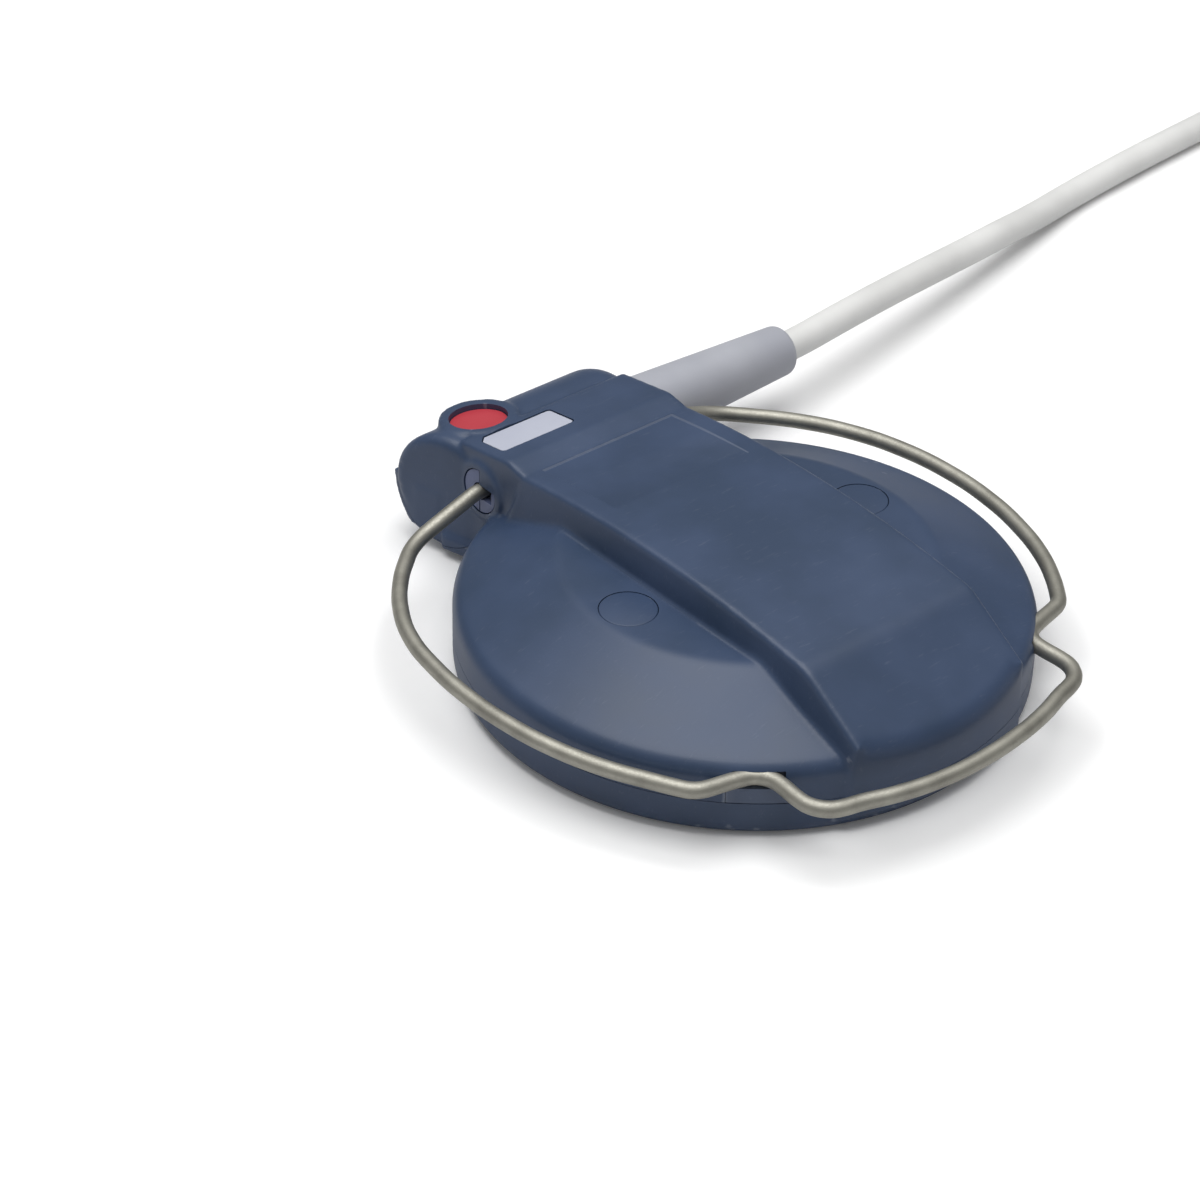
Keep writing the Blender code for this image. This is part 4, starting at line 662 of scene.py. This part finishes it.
upper = merge(twin(case, "upper_shell"), above_joint(0.05), "INTERSECT")
hollow = bar("hollow", "Z", HOLLOW_RADIUS, 3.5, 10.1, (0, 0), 128)
start_edit(hollow)
pick(hollow, "faces", lambda a, b: a.z > 10.0)
bpy.ops.mesh.extrude_region_move(TRANSFORM_OT_translate={"value": (0, 0, 7.2 * MM)})
taper = HOLLOW_TOP_RADIUS / HOLLOW_RADIUS
bpy.ops.transform.resize(value=(taper, taper, 1), center_override=drawn(0, 0, HOLLOW_TOP))
end_edit()
join(hollow, ridge("spine_hollow", 14.8, [-35.5] + crease_stations[1::2] + arch_stations[::2],
                   8.3, ROOF, lambda y: 0.0))
for side in (-1, 1):
    cut(hollow, block("pocket_wall", (40.0, -6.3, 8.1), (46.0, 6.3, 20.0), POCKET_TURN[side]))
    cut(hollow, bar("column", "Z", 5.8, 10.6, 19.0, (side * SCREW_X, 0), 64))
cut(upper, hollow)
cut(upper, bar("neck_hollow", "X", 6.4, -12.0, 12.0, BARREL, 64))
cut(upper, bar("boot_hole", "X", 3.3, 0.0, 21.6, BOOT_AXIS, 64))
cut(upper, bar("lead_passage", "Y", 2.2, 35.9, 50.7, (0, LEAD_HEIGHT), 48))

panel_low = 24.0
panel_stations = [PANEL_FRONT + PANEL_LENGTH * step / PANEL_STEPS
                  for step in range(PANEL_STEPS + 1)]
panel = block("panel", (-PANEL_HALF_WIDTH, PANEL_FRONT, panel_low),
              (PANEL_HALF_WIDTH, 32.3, 30.0))
start_edit(panel)
for y in panel_stations[1:-1]:
    slice_all((0, y, 0), (0, 1, 0))
for step, y in enumerate(panel_stations):
    pick(panel, "verts", lambda a, b: abs(a.y - y) < 0.2 and a.z < 24.1)
    sunk = PANEL_DEPTH * step / PANEL_STEPS
    lifted = PANEL_FADE * (PANEL_STEPS - step) / PANEL_STEPS
    shift(0, 0, top_line(y) - sunk + lifted - panel_low)
for side in (-1, 1):
    pick(panel, "verts", lambda a, b: a.z > 29 and a.x * side > 0)
    shift(side * PANEL_FLARE, 0, 0)
pick(panel, "verts", lambda a, b: a.z > 29 and a.y > 32)
shift(0, PANEL_FLARE, 0)
end_edit()
cut(upper, panel)
for side in (-1, 1):
    screw = (side * SCREW_X, 0)
    cut(upper, bar("plug_seat", "Z", 4.5, 16.7, 22.0, screw, 96))
    cut(upper, bar("head_bore", "Z", 3.35, 12.6, 16.8, screw, 64))
    cut(upper, bar("shank_hole", "Z", 1.8, 10.0, 12.7, screw, 48))
    seat = bar("flange_seat", "X", 3.85, *sorted((side * 16.3, side * 18.5)), PIVOT, 96)
    web = block("web", (side * RING_FACE - 3, PIVOT[0] - 5.0, PIVOT[1] + 1.2),
                (side * RING_FACE + 3, PIVOT[0] - 0.1, PIVOT[1] + 5.0))
    cut(upper, cut(seat, web))
    cut(upper, block("wire_slot", (side * 17.2 - 1.0, PIVOT[0] - 2.9, PIVOT[1] - 1.2),
                     (side * 17.2 + 1.0, PIVOT[0], PIVOT[1] + 1.2)))
    cut(upper, bar("bush_hole", "X", 2.5, *sorted((side * 12.8, side * 16.4)), PIVOT, 64))
    slot = block("pocket", (42.4, -3.8, 8.9), (48.0, 3.8, 11.7), POCKET_TURN[side])
    join(slot, block("keeper_slot", (41.0, -4.68, 4.0), (48.0, 4.68, 9.02), POCKET_TURN[side]))
    cut(upper, slot)
groove = cord_curve("wire_groove", wire_route, WIRE_DIAMETER + 0.5, 3)
bpy.ops.object.select_all(action="DESELECT")
groove.select_set(True)
bpy.context.view_layer.objects.active = groove
bpy.ops.object.convert(target="MESH")
cut(upper, bpy.context.active_object)
cut(upper, tilted_bar("code_seat", 4.75, -2.0, 4.0))

LABEL_MIDDLE = (-7.5, 43.45)


def on_platform(name, length, width, low, high, corner):
    """A flat block on the sloping platform, where the label lies, with one corner cut off."""
    bpy.ops.object.select_all(action="DESELECT")
    middle = Vector((*LABEL_MIDDLE, top_line(LABEL_MIDDLE[1])))
    middle += Matrix.Rotation(PLATFORM_TILT, 3, "X") @ Vector((0, 0, (low + high) / 2))
    bpy.ops.mesh.primitive_cube_add(size=1, location=drawn(*middle), rotation=(PLATFORM_TILT, 0, 0),
                                    scale=(length * MM, width * MM, (high - low) * MM))
    piece = settle(name)

    def upright(a, b):
        return b.x - a.x < CLOSE and b.y - a.y < 1.0 and b.z - a.z > (high - low) * 0.9

    round_edges(piece, corner + 0.5, 1, lambda a, b: upright(a, b) and a.x < -10 and a.y > 44)
    round_edges(piece, corner, 4, lambda a, b: upright(a, b) and (a.x > -10 or a.y < 44))
    return piece


cut(upper, on_platform("label_pocket", 14.7, 6.75, -0.7, 4.0, 0.8))

# Painted highlight: a light line is painted along the right and back edges of the lip of the
# spine's panel, on its top only. The housing's convex edges are also made paler, partly as wear and
# partly as a painted highlight. Each mask is a slab that is given by its middle and by its reach to
# each side.
housing = moulded("moulded_abs_slate", "#354662", "#31425c", "#3a4b68", 0.42, 0.35, 0.03, 0.14)
LIP_HIGHLIGHT = 0.13
tree = housing.node_tree
place = tree.nodes["Texture Coordinate"].outputs["Object"]
spot = add(tree, "ShaderNodeSeparateXYZ", {}, {"Vector": place}).outputs
aside = reckon(tree, "ABSOLUTE", spot["X"])
right_side, side_length, back_side, back_length, top_only = [
    reckon(tree, "COMPARE", reading, middle * MM, reach * MM)
    for reading, middle, reach in ((spot["X"], 13.1, 0.16), (spot["Y"], 23.5 + DISC_AXIS_Y, 9.0),
                                   (spot["Y"], 32.4 + DISC_AXIS_Y, 0.17), (aside, 0.0, 13.25),
                                   (spot["Z"], 23.8, 1.6))]
lip = reckon(tree, "MAXIMUM", reckon(tree, "MULTIPLY", right_side, side_length),
             reckon(tree, "MULTIPLY", back_side, back_length))
# The lip's mask, kept to the spine's top, is painted paler as a highlight line.
painted_lip_highlight = reckon(tree, "MULTIPLY", lip, top_only)
wear_and_highlights = reckon(tree, "MULTIPLY_ADD", painted_lip_highlight, LIP_HIGHLIGHT, tree.nodes["pale"].outputs["Value"])
tree.links.new(wear_and_highlights, tree.nodes["worn_and_highlit"].inputs[0])


def finish(piece, name, material, slot, *stands_for):
    """Shades a modelled piece, gives it its material and lets it stand for CAD nodes."""
    bpy.ops.object.select_all(action="DESELECT")
    piece.name = name
    piece.select_set(True)
    bpy.context.view_layer.objects.active = piece
    bpy.ops.object.shade_smooth_by_angle(angle=math.radians(32))
    dress(piece, material)
    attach(piece, "root")
    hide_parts(*stands_for)


finish(upper, "upper_shell", housing, "housing_blue", "upper_housing")


# Lower housing: the flat acoustic face and rim in one ABS moulding, with screw posts, a seat
# for the seal and the cradle under the neck. The two case screws hold it to the upper housing.
lower = cut(case, above_joint(-0.05))
cut(lower, bar("lower_hollow", "Z", 39.0, 1.6, 8.0, (0, 0), 128))
ledge = bar("seal_seat", "Z", HOLLOW_RADIUS, 5.7, 8.0, (0, 0), 128)
cut(lower, cut(ledge, bar("lip", "Z", 40.0, 5.0, 9.0, (0, 0), 128)))
for side in (-1, 1):
    post = bar("post", "Z", 4.0, 1.0, 8.5, (side * SCREW_X, 0), 48)
    join(lower, cut(post, bar("pilot", "Z", 1.8, 3.6, 9.0, (side * SCREW_X, 0), 32)))
finish(lower, "lower_shell", housing, "housing_blue", "lower_housing")


# Keepers: two small angle blocks, moulded in the same ABS as the case. They are pressed into
# the rim pockets under the wire's kinks, and their outer faces follow the rim.
for side, word in ((-1, "left"), (1, "right")):
    keeper = block("keeper", (41.3, -4.6, 6.38), (47.0, 4.6, 8.95), POCKET_TURN[side])
    cut(keeper, block("under", (40.0, -6.0, 5.0), (42.85, 6.0, 7.9), POCKET_TURN[side]))
    merge(keeper, bar("rim", "Z", DISC_RADIUS - 0.03, 0.0, 20.0, (0, 0), 256), "INTERSECT")
    finish(keeper, f"keeper_{word}", housing, "housing_blue", f"wire_keeper_{word}")


# Screw plugs: two moulded ABS discs with slightly rounded edges. They are pressed flush into
# the wells over the case screws.
for side, word in ((-1, "left"), (1, "right")):
    plug = bar("plug", "Z", 4.4, 17.0, PLATEAU_HEIGHT, (side * SCREW_X, 0), 96)
    round_edges(plug, 0.18, 3, lambda a, b: a.z > PLATEAU_HEIGHT - CLOSE)
    finish(plug, f"well_plug_{word}", housing, "housing_blue", f"screw_plug_{word}")


# Bushes: grey-blue nylon mouldings, each with a short body and a flange that is split in
# halves. They are pushed into the sides of the neck and hold the wire's ends.
bush_plastic = moulded("moulded_nylon_lilac", "#5c6688", "#576182", "#636d8f", 0.45, 0.3, 0.02)
for side, word in ((-1, "left"), (1, "right")):
    bush = bar("bush", "X", 3.7, *sorted((side * 16.4, side * 17.4)), PIVOT, 96)
    round_edges(bush, 0.15, 2, lambda a, b: a.x * side > 17.3 and b.x * side > 17.3)
    cut(bush, block("web", (side * RING_FACE - 3, PIVOT[0] - 5.0, PIVOT[1] + 1.05),
                    (side * RING_FACE + 3, PIVOT[0], PIVOT[1] + 5.0)))
    cut(bush, block("wire_slot", (side * 17.0 - 0.8, PIVOT[0] - 2.9, PIVOT[1] - 1.2),
                    (side * 17.0 + 0.8, PIVOT[0], PIVOT[1] + 1.2)))
    join(bush, bar("body", "X", 2.2, *sorted((side * 13.3, side * 16.2)), PIVOT, 64))
    cut(bush, bar("bore", "X", 1.5, *sorted((side * 13.6, side * 18.0)), PIVOT, 48))
    cut(bush, block("split", (side * 17.3 - 0.3, PIVOT[0] - 0.12, PIVOT[1] - 5.0),
                    (side * 17.3 + 0.3, PIVOT[0] + 0.12, PIVOT[1] + 5.0)))
    finish(bush, f"bush_{word}", bush_plastic, "bush_grey", f"wire_bush_{word}")


# Label: satin polyester film, die cut with rounded corners and one clipped corner. It is
# stuck down in its pocket on the platform.
label_film = moulded("polyester_label_film", "#b8bccb", "#b3b7c7", "#bdc1cf", 0.42, 0.4, 0.01)
label = on_platform("label", 14.2, 6.25, -0.6, -0.12, 0.6)
finish(label, "label_film", label_film, "label_grey", "label_plate")


# Colour disc: a plain disc of red styrene that tells one probe from another. It is pressed
# into the round boss beside the label, a little below the boss's rim.
code_plastic = moulded("moulded_red_styrene", "#ba3a45", "#b53641", "#bf3f4a", 0.40, 0.4, 0.01)
code = tilted_bar("code", 4.62, -1.8, -0.5)
finish(code, "code_disc", code_plastic, "code_red", "colour_code_disc")


# Boot: soft PVC sleeve moulded over the cable, tapered and with a rounded tip. Its flange sits
# inside the neck.
BOOT_RADIUS = 5.85
BOOT_TIP_RADIUS = 4.35
BOOT_TIP = 54.4
# Its convex edges are made a little paler, partly as wear and partly as a painted highlight.
boot_pvc = moulded("soft_pvc_boot", "#adafb7", "#a8aab3", "#b2b4bc", 0.5, 0.3, 0.02, 0.04)
boot = bar("boot", "X", BOOT_RADIUS, 20.6, BOOT_TIP, BOOT_AXIS, 96)
start_edit(boot)
pick(boot, "faces", lambda a, b: a.x > 54.3)
taper = BOOT_TIP_RADIUS / BOOT_RADIUS
bpy.ops.transform.resize(value=(1, taper, taper), center_override=drawn(BOOT_TIP, *BOOT_AXIS))
end_edit()
round_edges(boot, 1.3, 6, lambda a, b: a.x > 54.3)
round_edges(boot, 0.25, 3, lambda a, b: b.x < 20.7)
join(boot, bar("shank", "X", 3.0, 11.7, 21.0, BOOT_AXIS, 64))
join(boot, bar("flange", "X", 4.4, 10.0, 11.7, BOOT_AXIS, 64))
finish(boot, "boot_sleeve", boot_pvc, "boot_grey", "strain_relief")
pins = [f"contact_pin_{number}" for number in range(1, 7)]


# Seal and acoustic stack: a black silicone ring on the ledge between the housings, and behind
# the acoustic face a machined acetal carrier with seven fired ceramic discs under a pad of
# closed-cell foam.
def dress_all(names, material):
    """Gives CAD nodes their material."""
    for name in names:
        dress(nodes[name], material)


dress_all(["housing_seal"],
          moulded("silicone_seal", "#1c1c1d", "#181819", "#222223", 0.62, 0.3, 0.01))
dress_all(["crystal_carrier"],
          moulded("machined_acetal", "#d9d9d2", "#d2d2ca", "#e0e0da", 0.4, 0.5, 0.01))
dress_all([f"piezo_crystal_{number}" for number in range(1, 8)],
          moulded("fired_ceramic", "#cfc4ab", "#c7bba0", "#d8ceb8", 0.55, 0.2, 0.01))
dress_all(["backing_foam"],
          moulded("closed_cell_foam", "#66666b", "#58585c", "#737378", 0.85, 0.6, 0.1))


# Electronics: a round laminate board, clamped between the posts and the columns, with a
# tinned shield can and a white nylon header for the two leads.
dress_all(["circuit_board"],
          moulded("solder_resist_board", "#266e4c", "#226446", "#2b7853", 0.35, 1.0, 0.02))
dress_all(["shield_can"], metal("tinned_sheet", "#c9c9c9", "#bdbdbd", 0.3, 0.5, 0.01))
dress_all(["lead_header"],
          moulded("white_nylon", "#e0ded4", "#d8d6ca", "#e6e4dc", 0.45, 0.5, 0.01))
dress_all(["signal_lead"],
          moulded("red_wire_sleeve", "#ba3030", "#b02c2c", "#c23636", 0.45, 0.5, 0.01))
dress_all(["ground_lead", "cable_jacket_end"], cable_jacket)


# Fasteners and contacts: zinc-plated steel screws down through the upper housing, a turned
# brass ferrule crimped on the cable's end and turned brass pins in the plug.
dress_all(["case_screw_left", "case_screw_right"],
          metal("zinc_plated_steel", "#c4c4c2", "#b4b4b0", 0.33, 0.4, 0.01))
dress_all(["crimp_ferrule"] + pins, metal("turned_brass", "#d8be80", "#c8ae70", 0.28, 0.3, 0.01))


# Coil tie and plug: a black nylon strap round the coil, and at the cable's far end a PVC
# boot, a moulded grip, a nickel-plated shell and a black insert that holds the pins.
dress_all(["coil_tie", "contact_insert"],
          moulded("black_tie_nylon", "#2a2a2c", "#262628", "#303032", 0.5, 0.5, 0.01))
dress_all(["plug_boot"], boot_pvc)
dress_all(["plug_grip"],
          moulded("moulded_grey_grip", "#8f9096", "#8a8b91", "#95969c", 0.48, 0.4, 0.02))
dress_all(["plug_shell"], metal("nickel_plate", "#cfccc4", "#c2bfb6", 0.22, 0.4, 0.01))


# Table and light: a white studio table under one large soft lamp, with light all round. The
# table glows a little towards the camera, so that its far parts stay white.
TABLE_SIZE = 6.0
TABLE_GLOW = 0.04
LAMP_SIDE = 0.8
LAMP_POWER = 7.2
LAMP_PLACE = (-0.05, 0.06, 0.90)
LIGHT_BELOW, LIGHT_ABOVE = 0.17, 0.60

bpy.ops.object.select_all(action="DESELECT")
bpy.ops.mesh.primitive_plane_add(size=TABLE_SIZE)
table = bpy.context.active_object
table.name = "table"
table_white, tree = blank("white_table")
seen = add(tree, "ShaderNodeLightPath", {}, {}).outputs["Is Camera Ray"]
paint = add(tree, "ShaderNodeMix", {"data_type": "RGBA"},
            {0: seen, 6: linear("#dcdcdd"), 7: linear("#ffffff")})
lit = add(tree, "ShaderNodeBsdfDiffuse", {}, {"Color": paint.outputs[2]})
glow = add(tree, "ShaderNodeEmission", {},
           {"Strength": reckon(tree, "MULTIPLY", seen, TABLE_GLOW)})
both = add(tree, "ShaderNodeAddShader", {}, {0: lit.outputs["BSDF"], 1: glow.outputs["Emission"]})
add(tree, "ShaderNodeOutputMaterial", {}, {"Surface": both.outputs["Shader"]})
dress(table, table_white)

world = bpy.data.worlds.new("studio")
bpy.context.scene.world = world
world.use_nodes = True
tree = world.node_tree
tree.nodes.clear()
rays = add(tree, "ShaderNodeLightPath", {}, {}).outputs
open_view = reckon(tree, "MAXIMUM", rays["Is Camera Ray"], rays["Is Transmission Ray"])
toward = add(tree, "ShaderNodeTexCoord", {}, {}).outputs["Generated"]
height = add(tree, "ShaderNodeSeparateXYZ", {}, {"Vector": toward}).outputs["Z"]
steep = reckon(tree, "MULTIPLY", height, height, clamp=True)
studio = spread(tree, steep, 0.0, 1.0, LIGHT_BELOW, LIGHT_ABOVE)
strength = add(tree, "ShaderNodeMix", {"data_type": "FLOAT"}, {0: open_view, 2: studio, 3: 1.0})
sky = add(tree, "ShaderNodeBackground", {}, {"Color": (1, 1, 1, 1),
                                             "Strength": strength.outputs[0]})
add(tree, "ShaderNodeOutputWorld", {}, {"Surface": sky.outputs["Background"]})

lamp_data = bpy.data.lights.new("softbox", "AREA")
lamp_data.shape = "RECTANGLE"
lamp_data.size = LAMP_SIDE
lamp_data.size_y = LAMP_SIDE
lamp_data.energy = LAMP_POWER
lamp = bpy.data.objects.new("softbox", lamp_data)
bpy.context.scene.collection.objects.link(lamp)
lamp.location = LAMP_PLACE
lamp.rotation_euler = (Vector((0, 0, 0)) - lamp.location).to_track_quat("-Z", "Y").to_euler()

bpy.context.scene.view_settings.view_transform = "Standard"
